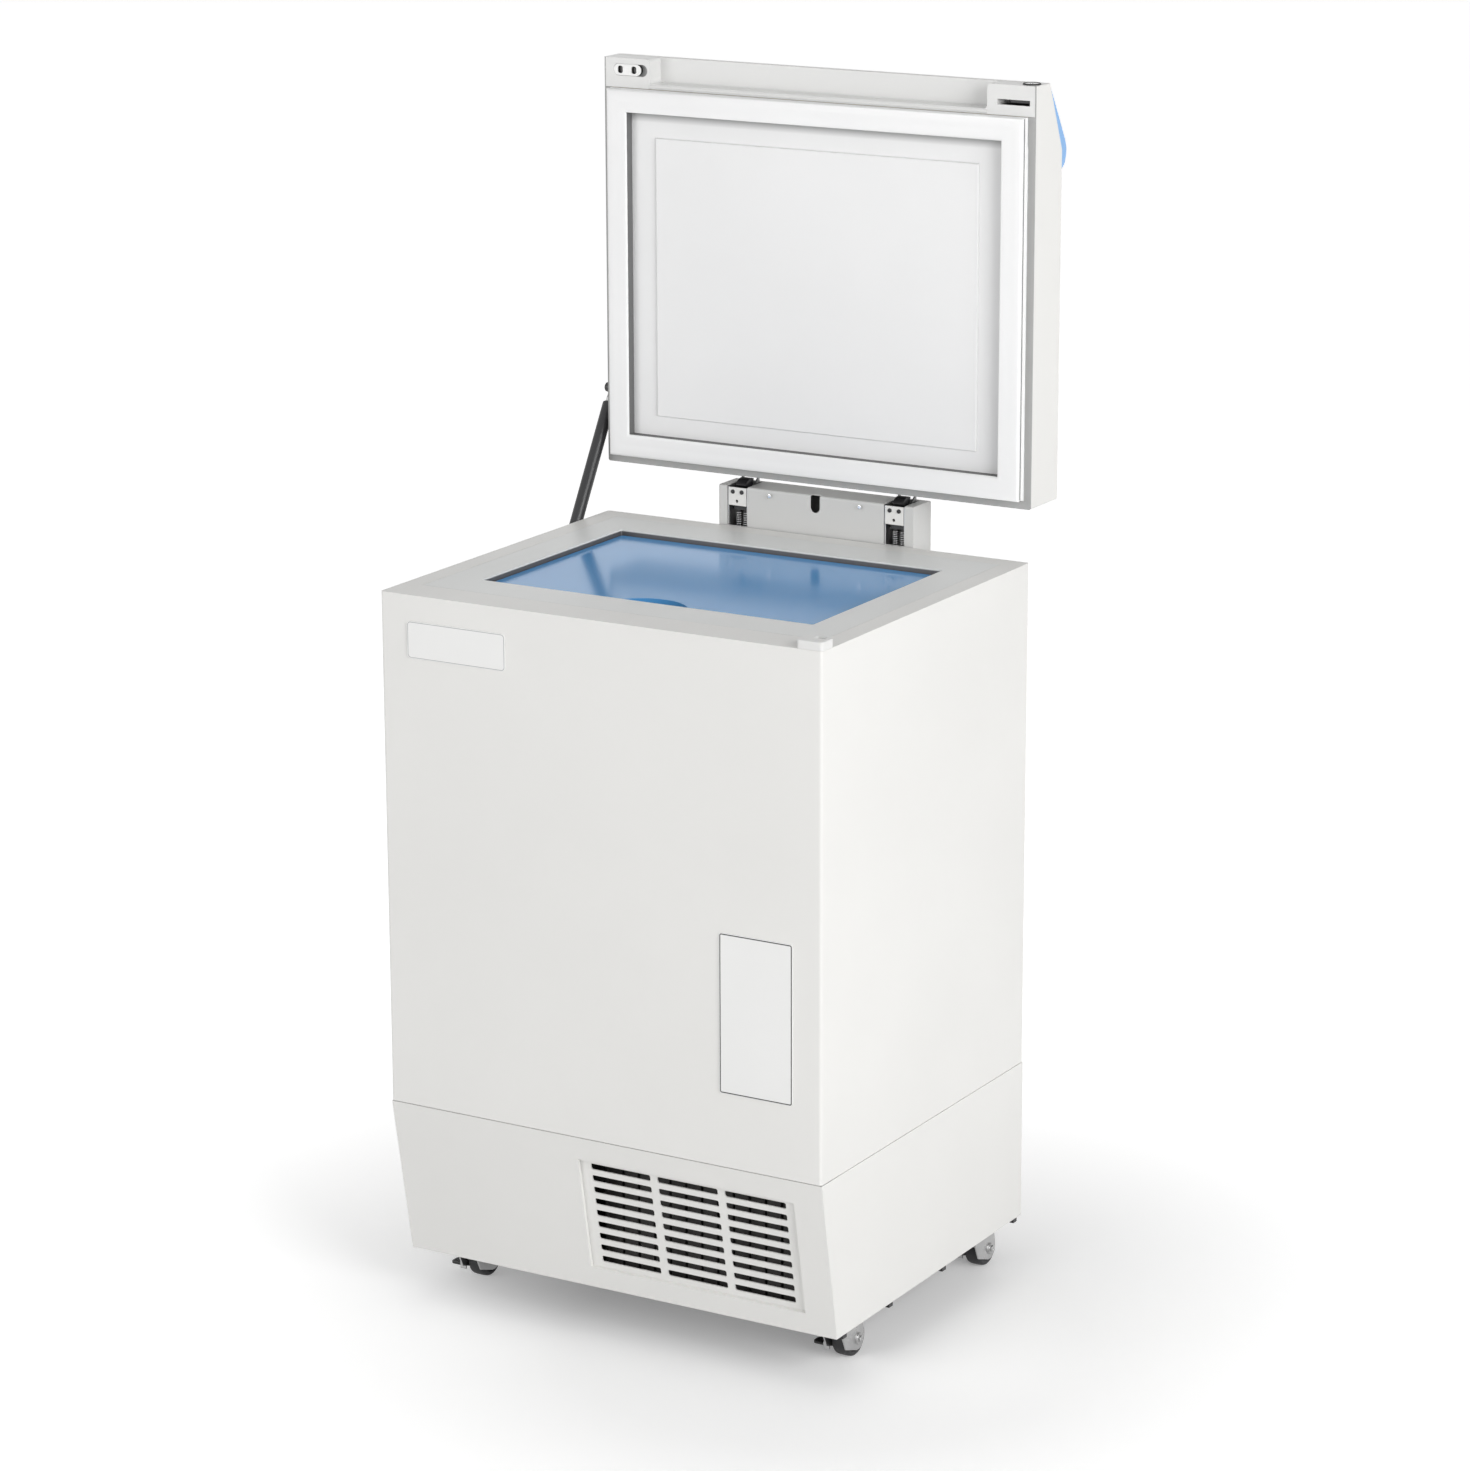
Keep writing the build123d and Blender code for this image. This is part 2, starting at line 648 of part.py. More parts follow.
with BuildPart() as hinge_cover:
    section([(back_edge, -cover_fall), (cover_back, -cover_fall), (cover_back, cover_rise),
             (cover_front, cover_rise), (cover_front, -cover_foot), (back_edge, -cover_foot)],
            (-cover_half, cover_half))
    fillet(hinge_cover.edges().filter_by(Axis.X).group_by(Axis.Z)[-1], cover_fold)
    section([(back_edge - past, -cover_fall + cover_wall), (cover_back - cover_wall, -cover_fall + cover_wall),
             (cover_back - cover_wall, cover_rise - cover_wall), (cover_front + cover_wall, cover_rise - cover_wall),
             (cover_front + cover_wall, -cover_foot), (back_edge - past, -cover_foot)],
            (-cover_half + cover_wall, cover_half - cover_wall), Mode.SUBTRACT)
    for place in hinge_places:
        slab(around(place, window_half), (cover_front - past, cabinet_depth + window_behind),
             (cabinet_top, cabinet_top + cover_rise + past), Mode.SUBTRACT)
    slab(around(0, notch_width / 2), (cover_front - past, cover_front + notch_reach),
         (notch_middle, cabinet_top + cover_rise + past), Mode.SUBTRACT)
    rod_y(0, (cover_front - past, cover_front + cover_wall + fit), notch_middle, notch_width / 2, Mode.SUBTRACT)
save(hinge_cover.part, "hinge_cover")

with BuildPart() as hinge_channels:
    for place in hinge_places:
        for side in (-1, 1):
            cheek = sorted((place + side * channel_half, place + side * (channel_half - channel_sheet)))
            section([(back_edge, -channel_fall), (channel_back, -channel_fall), (channel_back, channel_top),
                     (channel_front, channel_top), (channel_front, -channel_step), (back_edge, -channel_step)], cheek)
        inside = around(place, channel_half - channel_sheet)
        slab(inside, (channel_back - channel_sheet, channel_back), (cabinet_top - channel_fall, cabinet_top + web_top))
        slab(inside, (back_edge, channel_back), (cabinet_top - seat_fall, cabinet_top - seat_fall + seat_sheet))
        rod_x(around(place, pin_half), hinge_back, axis_z, pin_radius + running_fit, Mode.SUBTRACT)
save(hinge_channels.part, "hinge_channels")

spring_low = cabinet_top - seat_fall + seat_sheet + fit
with BuildPart() as hinge_springs:
    for place in hinge_places:
        for side in (-1, 1):
            rod_z(place + side * spring_side, cabinet_depth + spring_behind,
                  (spring_low, cabinet_top + spring_top), spring_radius)
        slab(around(place, head_half), (cabinet_depth + head_behind, channel_back - channel_sheet - fit),
             (cabinet_top + spring_top - head_height, cabinet_top + spring_top))
save(hinge_springs.part, "hinge_springs")

with BuildPart() as hinge_pins:
    for place in hinge_places:
        rod_x(around(place, pin_half), hinge_back, axis_z, pin_radius)
    chamfer(hinge_pins.edges(), pin_edge)
save(hinge_pins.part, "hinge_pins")

with BuildPart() as hinge_plates:
    for place in hinge_places:
        slab(around(place, guide_half), guide_y, (cabinet_top + guide_z[0], cabinet_top + guide_z[1]))
        for hole_x, hole_z in guide_holes:
            rod_y(place + hole_x, (guide_y[0] - past, guide_y[1] + past), cabinet_top + hole_z, guide_bore,
                  Mode.SUBTRACT)
save(hinge_plates.part, "hinge_plates")

arm_rise = hinge_up + hinge_behind
arm_seam = arm_rise - arm_plate / 2
arm_shape = [(hinge_back + arm_neck[0][0], hinge_up + arm_neck[0][1]),
             (hinge_back + arm_neck[1][0], hinge_up + arm_neck[1][1]),
             (hinge_back + arm_neck[1][0], arm_seam),
             (channel_back, arm_seam),
             (channel_back, hinge_up + arm_heel_rise),
             (hinge_back + arm_heel[0], hinge_up + arm_heel[1])]
with BuildPart() as hinge_arms:
    for place in hinge_places:
        slab((place - arm_tab[0], place + arm_tab[1]), (cabinet_depth + arm_behind, channel_back),
             (cabinet_top + arm_rise - arm_plate, cabinet_top + arm_rise))
        for side in (-1, 1):
            ear_x = sorted((place + side * arm_side, place + side * (arm_side - arm_sheet)))
            section(arm_shape, ear_x)
            rod_x(ear_x, hinge_back, axis_z, ear_radius)
            rod_x(ear_x, hinge_back, axis_z, pin_radius + running_fit, Mode.SUBTRACT)
save(hinge_arms.part, "hinge_arms")

# Lid: a painted pan with a sloped front, foamed behind a pressed inner liner
slope_rate = (lid_thickness - lid_nose) / lid_slope
slope_stretch = hypot(1, slope_rate)


def slope_at(back, inset):
    """Rise of the sloped front at a distance back, moved inwards by the inset."""
    return lid_nose + slope_rate * back - inset * slope_stretch


def slope_end(inset):
    """Distance back where the inset slope meets the inset top."""
    return (lid_thickness - inset - slope_at(0, inset)) / slope_rate


with BuildPart() as lid_shell:
    lid_section([(0, 0), (lid_nose, 0), (lid_thickness, lid_slope), (lid_thickness, cabinet_depth),
                 (0, cabinet_depth)], (-half, half))
    crisp = lid_shell.edges().filter_by(lambda edge: edge.center().Y > front + lid_plane + lid_nose / 2)
    fillet(crisp, lid_edge_radius)
    lid_section([(sheet, sheet), (slope_at(sheet, sheet), sheet), (lid_thickness - sheet, slope_end(sheet)),
                 (lid_thickness - sheet, cabinet_depth - sheet), (sheet, cabinet_depth - sheet)],
                (-half + sheet, half - sheet), Mode.SUBTRACT)
    lid_block((-half + lid_flange, half - lid_flange), (sheet, cabinet_depth - lid_flange), (-past, 2 * sheet),
              Mode.SUBTRACT)
    lid_block((-half + sheet, half - sheet), (-past, gasket_front - fit), (-past, grip_depth + sheet), Mode.SUBTRACT)
save(lid_shell.part, "lid_shell")

grip_cover = 1.2
grip_gap = 0.6
grip_top = grip_depth + grip_cover
grip_end = gasket_front - grip_gap
foam_gap = sheet + fit
with BuildPart() as lid_foam:
    lid_section([(foam_gap, grip_end + fit), (grip_top + 2 * fit, grip_end + fit), (grip_top + 2 * fit, foam_gap),
                 (slope_at(foam_gap, foam_gap), foam_gap), (lid_thickness - foam_gap, slope_end(foam_gap)),
                 (lid_thickness - foam_gap, cabinet_depth - foam_gap), (foam_gap, cabinet_depth - foam_gap)],
                (-half + foam_gap, half - foam_gap))
save(lid_foam.part, "lid_foam")

liner_side = 80.8
liner_ahead = 64.3
liner_behind = 70.4
liner_step = 3.0
liner_edge = 2.0
liner_x = half - liner_side
liner_back = (gasket_front + liner_ahead, cabinet_depth - liner_behind)
with BuildPart() as lid_liner:
    lid_block((-half + lid_flange + fit, half - lid_flange - fit), (gasket_front, cabinet_depth - lid_flange - fit),
              (0, sheet))
    lid_block((-liner_x, liner_x), liner_back, (-liner_step, sheet))
    fillet(lid_liner.faces().sort_by(Axis.Y)[0].edges(), liner_edge)
    lid_block((-liner_x + sheet, liner_x - sheet), (liner_back[0] + sheet, liner_back[1] - sheet),
              (-liner_step + sheet, sheet + past), Mode.SUBTRACT)
save(lid_liner.part, "lid_liner")

# Gasket: a soft frame whose cushion and foot are joined by a narrower neck
gasket_edge = 2.5
neck_inset = 3.0
neck_rise = (-9.0, -6.0)
neck_overlap = 0.5
gasket_x = half - gasket_side
gasket_end = cabinet_depth - gasket_rear
with BuildPart() as gasket:
    lid_block((-gasket_x, gasket_x), (gasket_front, gasket_end), (-gasket_height, 0))
    fillet(gasket.faces().sort_by(Axis.Y)[0].edges(), gasket_edge)
    lid_block((-gasket_x - past, gasket_x + past), (gasket_front - past, gasket_end + past), neck_rise, Mode.SUBTRACT)
    lid_block((-gasket_x + neck_inset, gasket_x - neck_inset), (gasket_front + neck_inset, gasket_end - neck_inset),
              (neck_rise[0] - neck_overlap, neck_rise[1] + neck_overlap))
    lid_block((-gasket_x + gasket_width, gasket_x - gasket_width),
              (gasket_front + gasket_width, gasket_end - gasket_width), (-gasket_height - past, past), Mode.SUBTRACT)
save(gasket.part, "gasket")

# Front grip: the moulding with the finger recess and the housing of the lock
lock_rise = 17.0
barrel_radius = 10.0
barrel_length = 19.0
cam_gap = 1.7
cam_tail = 6.0
slot_reach = 41.5
slot_margin = 1.5
slot_top = 27.0
insert_side = 13.9
insert_width = 53.6
insert_back = 16.0
insert_height = 16.0
insert_floor = 6.0
moulding_gap = 0.2
grip_corner = 5.0
bead_sink = 1.5
grip_half = half - corner_block
moulding_half = half - sheet - moulding_gap
bead_radius = (grip_end - grip_reach) / 2
cam_back = (barrel_length + cam_gap, barrel_length + cam_gap + cam_thickness)
slot_back = (cam_back[0] - slot_margin, cam_back[1] + slot_margin)
insert_middle = -half + insert_side + insert_width / 2
lock_plane = Plane(origin=(mid + lock_x, front + lid_plane + lock_rise, lid_high), x_dir=(1, 0, 0), z_dir=(0, 0, 1))
insert_plane = Plane(origin=(mid + insert_middle, front + lid_plane, lid_high - insert_back), x_dir=(1, 0, 0),
                     z_dir=(0, -1, 0))
with BuildPart() as front_grip:
    lid_block((-moulding_half, moulding_half), (0, grip_end), (0, grip_top))
    lid_block((-grip_half, grip_half), (-past, grip_reach), (-past, grip_depth), Mode.SUBTRACT)
    upright_edges = front_grip.edges().filter_by(Axis.Y)
    fillet(upright_edges.filter_by(lambda edge: abs(edge.center().X - mid) < grip_half + past), grip_corner)
    rod_x((-grip_half, grip_half), lid_plane + bead_radius - bead_sink, lid_high - grip_end + bead_radius, bead_radius)
    with BuildSketch(lock_plane.offset(past)):
        Circle(barrel_radius + running_fit)
    extrude(amount=-slot_back[0] - 2 * past, mode=Mode.SUBTRACT)
    lid_block((lock_x - slot_reach, lock_x + cam_tail), slot_back, (-past, slot_top), Mode.SUBTRACT)
    with BuildSketch(insert_plane.offset(past)):
        SlotOverall(insert_width, insert_height)
    extrude(amount=-insert_floor - past, mode=Mode.SUBTRACT)
save(front_grip.part, "front_grip")

insert_length = 43.0
insert_sunk = 0.5
insert_holes = (5.3, -16.2)
insert_hole = (8.0, 10.0)
insert_hole_corner = 3.0
insert_hole_depth = 4.5
with BuildPart() as corner_insert:
    with BuildSketch(insert_plane.offset(-insert_floor)):
        with Locations(((insert_length - insert_width) / 2 + fit, 0)):
            SlotOverall(insert_length, insert_height - 2 * fit)
    extrude(amount=insert_floor - insert_sunk)
    with BuildSketch(insert_plane):
        for hole in insert_holes:
            with Locations((hole, 0)):
                RectangleRounded(*insert_hole, insert_hole_corner)
    extrude(amount=-insert_hole_depth, mode=Mode.SUBTRACT)
save(corner_insert.part, "corner_insert")

# Lock: a collar on the lid's edge, a turning barrel and the cam behind it
bezel_radius = 12.0
bezel_proud = 2.0
bezel_edge = 0.8
barrel_sunk = 0.5
barrel_neck = 5.0
key_slot = (1.6, 9.0)
key_hub = 2.5
key_depth = 4.0
cam_reach = 32.0
barrel_face = bezel_proud - barrel_sunk
with BuildPart() as lock_bezel:
    with BuildSketch(lock_plane):
        Circle(bezel_radius)
        Circle(barrel_radius + running_fit, mode=Mode.SUBTRACT)
    extrude(amount=bezel_proud)
    chamfer(lock_bezel.edges().group_by(Axis.Z)[-1].sort_by(SortBy.LENGTH)[-1], bezel_edge)
save(lock_bezel.part, "lock_bezel")

with BuildPart() as lock_barrel:
    with BuildSketch(lock_plane.offset(-barrel_length)):
        Circle(barrel_radius)
    extrude(amount=barrel_length + barrel_face)
    with BuildSketch(lock_plane.offset(-cam_back[0])):
        Circle(barrel_neck)
    extrude(amount=cam_gap)
    with BuildSketch(lock_plane.offset(barrel_face)):
        Rectangle(*key_slot)
        Circle(key_hub)
    extrude(amount=-key_depth, mode=Mode.SUBTRACT)
save(lock_barrel.part, "lock_barrel")

with BuildPart() as lock_cam:
    with BuildSketch(lock_plane.offset(-cam_back[1])):
        with Locations(((cam_width / 2 - cam_reach) / 2, 0)):
            SlotOverall(cam_reach + cam_width / 2, cam_width)
    extrude(amount=cam_thickness)
save(lock_cam.part, "lock_cam")

# Console: a full-width moulded housing along the lid's sloped front, with its dark window and keypad
console_inset = 2.0
console_foot = 3.0
console_nose = 1.8
face_drop = (3.7, 38.0)
brow = ((0.0, 27.0), (0.8, 18.0), (4.7, 8.0))
brow_foot = 0.5
panel_recess = 1.2
panel_sunk = 0.2
panel_corner = 4.0
window_side = 157.5
window_size = (150.0, 46.0)
keypad_side = 367.5
keypad_size = (170.0, 40.0)
panel_back = 42.0
face_start = (lid_nose + console_nose, console_foot)
face_end = (console_rise - face_drop[0], console_length - face_drop[1])
face_length = hypot(face_end[0] - face_start[0], face_end[1] - face_start[1])
face_up = ((face_end[0] - face_start[0]) / face_length, (face_end[1] - face_start[1]) / face_length)
face_plane = Plane(origin=(mid, front + lid_plane + face_start[0], lid_high - face_start[1]),
                   x_dir=(-1, 0, 0), z_dir=(0, face_up[1], face_up[0]))
window_x = half - window_side
keypad_x = half - keypad_side
with BuildPart() as console:
    lid_section([face_start, face_end]
                + [(console_rise - down, console_length - ahead) for down, ahead in brow]
                + [(lid_thickness + brow_foot, console_length), (lid_thickness + fit, console_length),
                   (lid_thickness + fit, slope_end(-fit)), (slope_at(console_foot, -fit), console_foot)],
                (-half + console_inset, half - console_inset))
    with BuildSketch(face_plane):
        for place, size in ((window_x, window_size), (keypad_x, keypad_size)):
            with Locations((-place, -panel_back)):
                RectangleRounded(size[0] + 2 * fit, size[1] + 2 * fit, panel_corner)
    extrude(amount=-panel_recess, mode=Mode.SUBTRACT)
save(console.part, "console")

for name, place, size in (("display_window", window_x, window_size), ("keypad", keypad_x, keypad_size)):
    with BuildPart() as panel:
        with BuildSketch(face_plane.offset(-panel_recess)):
            with Locations((-place, -panel_back)):
                RectangleRounded(*size, panel_corner)
        extrude(amount=panel_recess - panel_sunk)
    save(panel.part, name)

# Strut: a sealed tube hung on the lid's stud, with a rod that slides in it
eye_half = 6.0
eye_radius = 8.0
neck_radius = 5.0
tube_start = 22.0
tube_edge = 1.5
tube_end_wall = 3.5
rod_inside = 12.0
socket_length = 15.0
socket_radius = 6.0
socket_head = 7.5
socket_half = 4.85
stud_base = (1.6, 11.0)
stud_head = 6.5
stud_neck = 1.0
stud_edge = 1.2
bracket_half = (14.0, 20.0)
bracket_corner = 5.0
bracket_stud = 5.0
bracket_reach = 5.5
outside = half + strut_reach
strut_x = -(half + strut_gap + strut_radius)
lean = radians(strut_lean)
strut_way = (-sin(lean), -cos(lean))
upper_stud = (hinge_back + stud_back, hinge_up + stud_up)
lower_stud = (upper_stud[0] + strut_length * strut_way[0], upper_stud[1] + strut_length * strut_way[1])
upper_z = cabinet_top + upper_stud[1]
lower_z = cabinet_top + lower_stud[1]
strut_plane = Plane(origin=(mid + strut_x, front + upper_stud[0], upper_z), x_dir=(1, 0, 0),
                    z_dir=(0, strut_way[0], strut_way[1]))
with BuildPart() as strut_stud:
    rod_x((-half - stud_base[0], -half), upper_stud[0], upper_z, stud_base[1])
    rod_x((-outside + stud_neck, -half - stud_neck), upper_stud[0], upper_z, stud_radius)
    rod_x((-outside, strut_x - eye_half - fit), upper_stud[0], upper_z, stud_head)
    chamfer(strut_stud.edges().group_by(Axis.X)[0], stud_edge)
save(strut_stud.part, "strut_stud")

with BuildPart() as strut_tube:
    with BuildSketch(strut_plane.offset(tube_start)):
        Circle(strut_radius)
    extrude(amount=strut_tube_length)
    chamfer(strut_tube.edges().filter_by(GeomType.CIRCLE), tube_edge)
    with BuildSketch(strut_plane):
        Circle(neck_radius)
    extrude(amount=tube_start + past)
    rod_x(around(strut_x, eye_half), upper_stud[0], upper_z, eye_radius)
    with BuildSketch(strut_plane.offset(tube_start + tube_end_wall)):
        Circle(strut_rod_radius + running_fit)
    extrude(amount=strut_tube_length, mode=Mode.SUBTRACT)
    rod_x((-outside, -half), upper_stud[0], upper_z, stud_radius + running_fit, Mode.SUBTRACT)
save(strut_tube.part, "strut_tube")

rod_start = tube_start + strut_tube_length - rod_inside
with BuildPart() as strut_rod:
    with BuildSketch(strut_plane.offset(rod_start)):
        Circle(strut_rod_radius)
    extrude(amount=strut_length - rod_start - socket_radius)
    with BuildSketch(strut_plane.offset(strut_length - socket_length - socket_radius)):
        Circle(socket_half)
    extrude(amount=socket_length)
    rod_x(around(strut_x, socket_half), lower_stud[0], lower_z, socket_head)
save(strut_rod.part, "strut_rod")

with BuildPart() as strut_bracket:
    slab((-half - stud_base[0], -half), around(lower_stud[0], bracket_half[0]), around(lower_z, bracket_half[1]))
    fillet(strut_bracket.edges().filter_by(Axis.X), bracket_corner)
    rod_x((-half - bracket_reach, -half - stud_neck), lower_stud[0], lower_z, bracket_stud)
save(strut_bracket.part, "strut_bracket")

# Casters: a plate with its kingpin, and a turning fork with the wheel and the brake pedal
plate_thickness = 2.5
plate_half = 30.0
race_radius = 18.0
race_drop = 7.5
race_gap = 0.4
kingpin_radius = 4.0
kingpin_drop = 14.5
kingpin_head = 7.0
kingpin_head_height = 2.0
fork_sheet = 2.0
fork_half = 15.5
fork_lobe = 15.0
fork_rear = 10.0
fork_skirt = 19.6
fork_waist = ((-4.0, -15.0), (-33.0, -5.0))
crown_sheet = 4.0
axle_radius = 4.0
axle_proud = 3.0
boss_radius = 8.0
boss_proud = 2.0
boss_gap = 0.5
tyre_edge = 3.0
dish_radius_gap = 6.0
dish_step = 1.5
hub_proud = 0.5
wheel_hub = 9.0
pedal_ahead = 40.0
pedal_pin_ahead = 19.5
pedal_pin_drop = 7.5
pedal_side = 12.0
pedal_half = 9.0
pedal_sheet = 3.0
pedal_pin = 1.5
pedal_barrel = 3.0
pedal_corner = 5.0
lug_ahead = 22.5
lug_sheet = 2.0
lug_gap = 0.5
lug_height = 9.0
lug_drop = 12.0
caster_names = ("front_left", "front_right", "rear_left", "rear_right")
caster_places = [(side * (half - caster_side), y) for y in (caster_front, rear_swivel) for side in (-1, 1)]
race_low = base_height - race_drop
kingpin_low = base_height - kingpin_drop
fork_top = race_low - race_gap
fork_inside = fork_half - fork_sheet
pedal_z = wheel_radius - pedal_pin_drop


def at_caster(place, x, y, z, mode=Mode.ADD):
    """A block given from the middle of one caster's swivel."""
    slab((place[0] + x[0], place[0] + x[1]), (place[1] + y[0], place[1] + y[1]), z, mode)


def axle(place, x, radius, mode=Mode.ADD):
    """A round bar on one caster's wheel axis."""
    rod_x((place[0] + x[0], place[0] + x[1]), place[1] + caster_trail, wheel_radius, radius, mode)


def pedal_rod(place, half_length, radius, mode=Mode.ADD):
    """A round bar on the axis of one caster's brake pedal."""
    rod_y(place[0] - pedal_pin_ahead, around(place[1] + pedal_side, half_length), pedal_z, radius, mode)


with BuildPart() as caster_plates:
    for place in caster_places:
        at_caster(place, around(0, plate_half), around(0, plate_half), (base_height - plate_thickness, base_height))
        rod_z(*place, (race_low, base_height - plate_thickness / 2), race_radius)
        rod_z(*place, (kingpin_low, race_low + past), kingpin_radius)
        rod_z(*place, (kingpin_low, kingpin_low + kingpin_head_height), kingpin_head)
save(caster_plates.part, "caster_plates")

skirt_z = fork_top - fork_skirt
cheek_shape = [(-fork_half, fork_top), (caster_trail + fork_rear, fork_top),
               (caster_trail + fork_lobe, wheel_radius),
               (caster_trail + fork_waist[0][0], wheel_radius + fork_waist[0][1]),
               (caster_trail + fork_waist[1][0], wheel_radius + fork_waist[1][1]), (-fork_half, skirt_z)]
for name, place in zip(caster_names, caster_places):
    with BuildPart() as caster_fork:
        at_caster(place, around(0, fork_half), (-fork_half, caster_trail + fork_rear),
                  (fork_top - crown_sheet, fork_top))
        at_caster(place, around(0, fork_half), (-fork_half, fork_sheet - fork_half), (skirt_z, fork_top))
        for side in (-1, 1):
            cheek = span(side, fork_inside, fork_half)
            with BuildSketch(Plane(origin=(mid + place[0] + cheek[0], front + place[1], 0), x_dir=(0, 1, 0),
                                   z_dir=(1, 0, 0))):
                with BuildLine():
                    Polyline(*cheek_shape, close=True)
                make_face()
                with Locations((caster_trail, wheel_radius)):
                    Circle(fork_lobe)
            extrude(amount=fork_sheet)
            axle(place, span(side, fork_inside + boss_gap, fork_half + boss_proud), boss_radius)
            lug_y = place[1] + pedal_side + side * (pedal_half + lug_gap)
            slab((place[0] - lug_ahead, place[0] - fork_inside), sorted((lug_y, lug_y + side * lug_sheet)),
                 (wheel_radius - lug_drop, wheel_radius - lug_drop + lug_height))
        axle(place, around(0, fork_half + axle_proud), axle_radius)
        rod_z(*place, (0, fork_top + past), kingpin_radius + running_fit, Mode.SUBTRACT)
        pedal_rod(place, pedal_half + lug_sheet, pedal_pin)
    save(caster_fork.part, "caster_fork_" + name)

    with BuildPart() as caster_wheel:
        axle(place, around(0, wheel_width / 2), wheel_radius)
        chamfer(caster_wheel.edges(), tyre_edge)
        for side in (-1, 1):
            axle(place, span(side, wheel_width / 2 - dish_step, wheel_width / 2 + past),
                 wheel_radius - dish_radius_gap, Mode.SUBTRACT)
            axle(place, span(side, wheel_width / 2 - dish_step - hub_proud, wheel_width / 2), wheel_hub)
        axle(place, around(0, wheel_width), axle_radius + running_fit, Mode.SUBTRACT)
    save(caster_wheel.part, "caster_wheel_" + name)

    with BuildPart() as brake_pedal:
        at_caster(place, (-pedal_ahead, -pedal_pin_ahead), around(pedal_side, pedal_half),
                  around(pedal_z, pedal_sheet / 2))
        fillet(brake_pedal.edges().filter_by(Axis.Z).group_by(Axis.X)[0], pedal_corner)
        pedal_rod(place, pedal_half, pedal_barrel)
        pedal_rod(place, pedal_half + past, pedal_pin + running_fit, Mode.SUBTRACT)
    save(brake_pedal.part, "brake_pedal_" + name)
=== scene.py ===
# %% [markdown]
# # A small ultra low temperature freezer
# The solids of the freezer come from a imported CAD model, and this script gives them their looks.
# It loads that model, builds the finishes as node materials, models the small pieces that the
# solids leave out, and sets the floor, the lamps and the camera.
# Lengths are in metres, Z is up, and the front of the freezer faces towards -Y.

import json
import math

import bmesh
import bpy
from mathutils import Matrix, Vector


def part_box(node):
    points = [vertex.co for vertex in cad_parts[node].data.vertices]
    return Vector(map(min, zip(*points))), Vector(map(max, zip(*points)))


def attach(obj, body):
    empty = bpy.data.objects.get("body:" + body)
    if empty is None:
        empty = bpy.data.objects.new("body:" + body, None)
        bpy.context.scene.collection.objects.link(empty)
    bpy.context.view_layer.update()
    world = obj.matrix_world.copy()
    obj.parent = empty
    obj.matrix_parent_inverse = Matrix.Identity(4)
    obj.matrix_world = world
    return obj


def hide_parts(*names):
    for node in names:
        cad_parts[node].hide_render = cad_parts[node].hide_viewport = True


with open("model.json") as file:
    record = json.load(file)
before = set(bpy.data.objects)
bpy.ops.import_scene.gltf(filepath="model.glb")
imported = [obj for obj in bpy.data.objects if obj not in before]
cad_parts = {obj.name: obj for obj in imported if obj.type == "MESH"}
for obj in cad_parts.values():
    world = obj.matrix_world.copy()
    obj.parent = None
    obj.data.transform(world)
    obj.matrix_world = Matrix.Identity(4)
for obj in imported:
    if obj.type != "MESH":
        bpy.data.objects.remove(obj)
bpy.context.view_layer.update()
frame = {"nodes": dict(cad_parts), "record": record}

# %% [markdown]
# ## Places on the cabinet
# New pieces are placed from the boxes of the solids, plus fixed distances that are named where they
# are used. The middle plane of the cabinet, its front, its top and the open lid's inner face are
# read here.

# %% Places read from the solids
shell_low, shell_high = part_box("cabinet_shell")
lid_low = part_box("lid_shell")[0]
mid_x = (shell_low[0] + shell_high[0]) / 2
front_y = shell_low[1]
top_z = shell_high[2]
lid_face_y = lid_low[1]
print("middle", round(mid_x, 4), "front", round(front_y, 4), "top", round(top_z, 4))

# %% [markdown]
# ## Shared effects
# Painted sheet, mouldings and bare metal all show the same few things at their own scale: a fine
# grain, slow patches where the gloss differs, and edges that are rubbed. Each effect is one node
# group, built once and placed in every material with its own values.

# %% Group for grain and patches
def new_group(name, inputs, outputs):
    """A shader node group with float inputs, a vector input and float outputs."""
    tree = bpy.data.node_groups.new(name, "ShaderNodeTree")
    tree.interface.new_socket("Vector", in_out="INPUT", socket_type="NodeSocketVector")
    for label, value in inputs:
        socket = tree.interface.new_socket(label, in_out="INPUT", socket_type="NodeSocketFloat")
        socket.default_value = value
    for label in outputs:
        tree.interface.new_socket(label, in_out="OUTPUT", socket_type="NodeSocketFloat")
    start = tree.nodes.new("NodeGroupInput")
    end = tree.nodes.new("NodeGroupOutput")
    return tree, start, end


def noise(tree, vector, scale, detail=2.0, rough=0.5):
    """A noise pattern, its scale given as a number or a socket."""
    node = tree.nodes.new("ShaderNodeTexNoise")
    node.inputs["Detail"].default_value = detail
    node.inputs["Roughness"].default_value = rough
    tree.links.new(vector, node.inputs["Vector"])
    if isinstance(scale, float):
        node.inputs["Scale"].default_value = scale
    else:
        tree.links.new(scale, node.inputs["Scale"])
    return node.outputs["Fac"]


def remap(tree, value, low, high, to_low=0.0, to_high=1.0):
    """A value moved from one range to another and held inside it."""
    node = tree.nodes.new("ShaderNodeMapRange")
    node.inputs["From Min"].default_value = low
    node.inputs["From Max"].default_value = high
    node.inputs["To Min"].default_value = to_low
    node.inputs["To Max"].default_value = to_high
    tree.links.new(value, node.inputs["Value"])
    return node.outputs["Result"]


def combine(tree, kind, first, second):
    """One step of arithmetic on two numbers or sockets."""
    node = tree.nodes.new("ShaderNodeMath")
    node.operation = kind
    for socket, value in zip(node.inputs, (first, second)):
        if isinstance(value, (int, float)):
            socket.default_value = value
        else:
            tree.links.new(value, socket)
    return node.outputs[0]


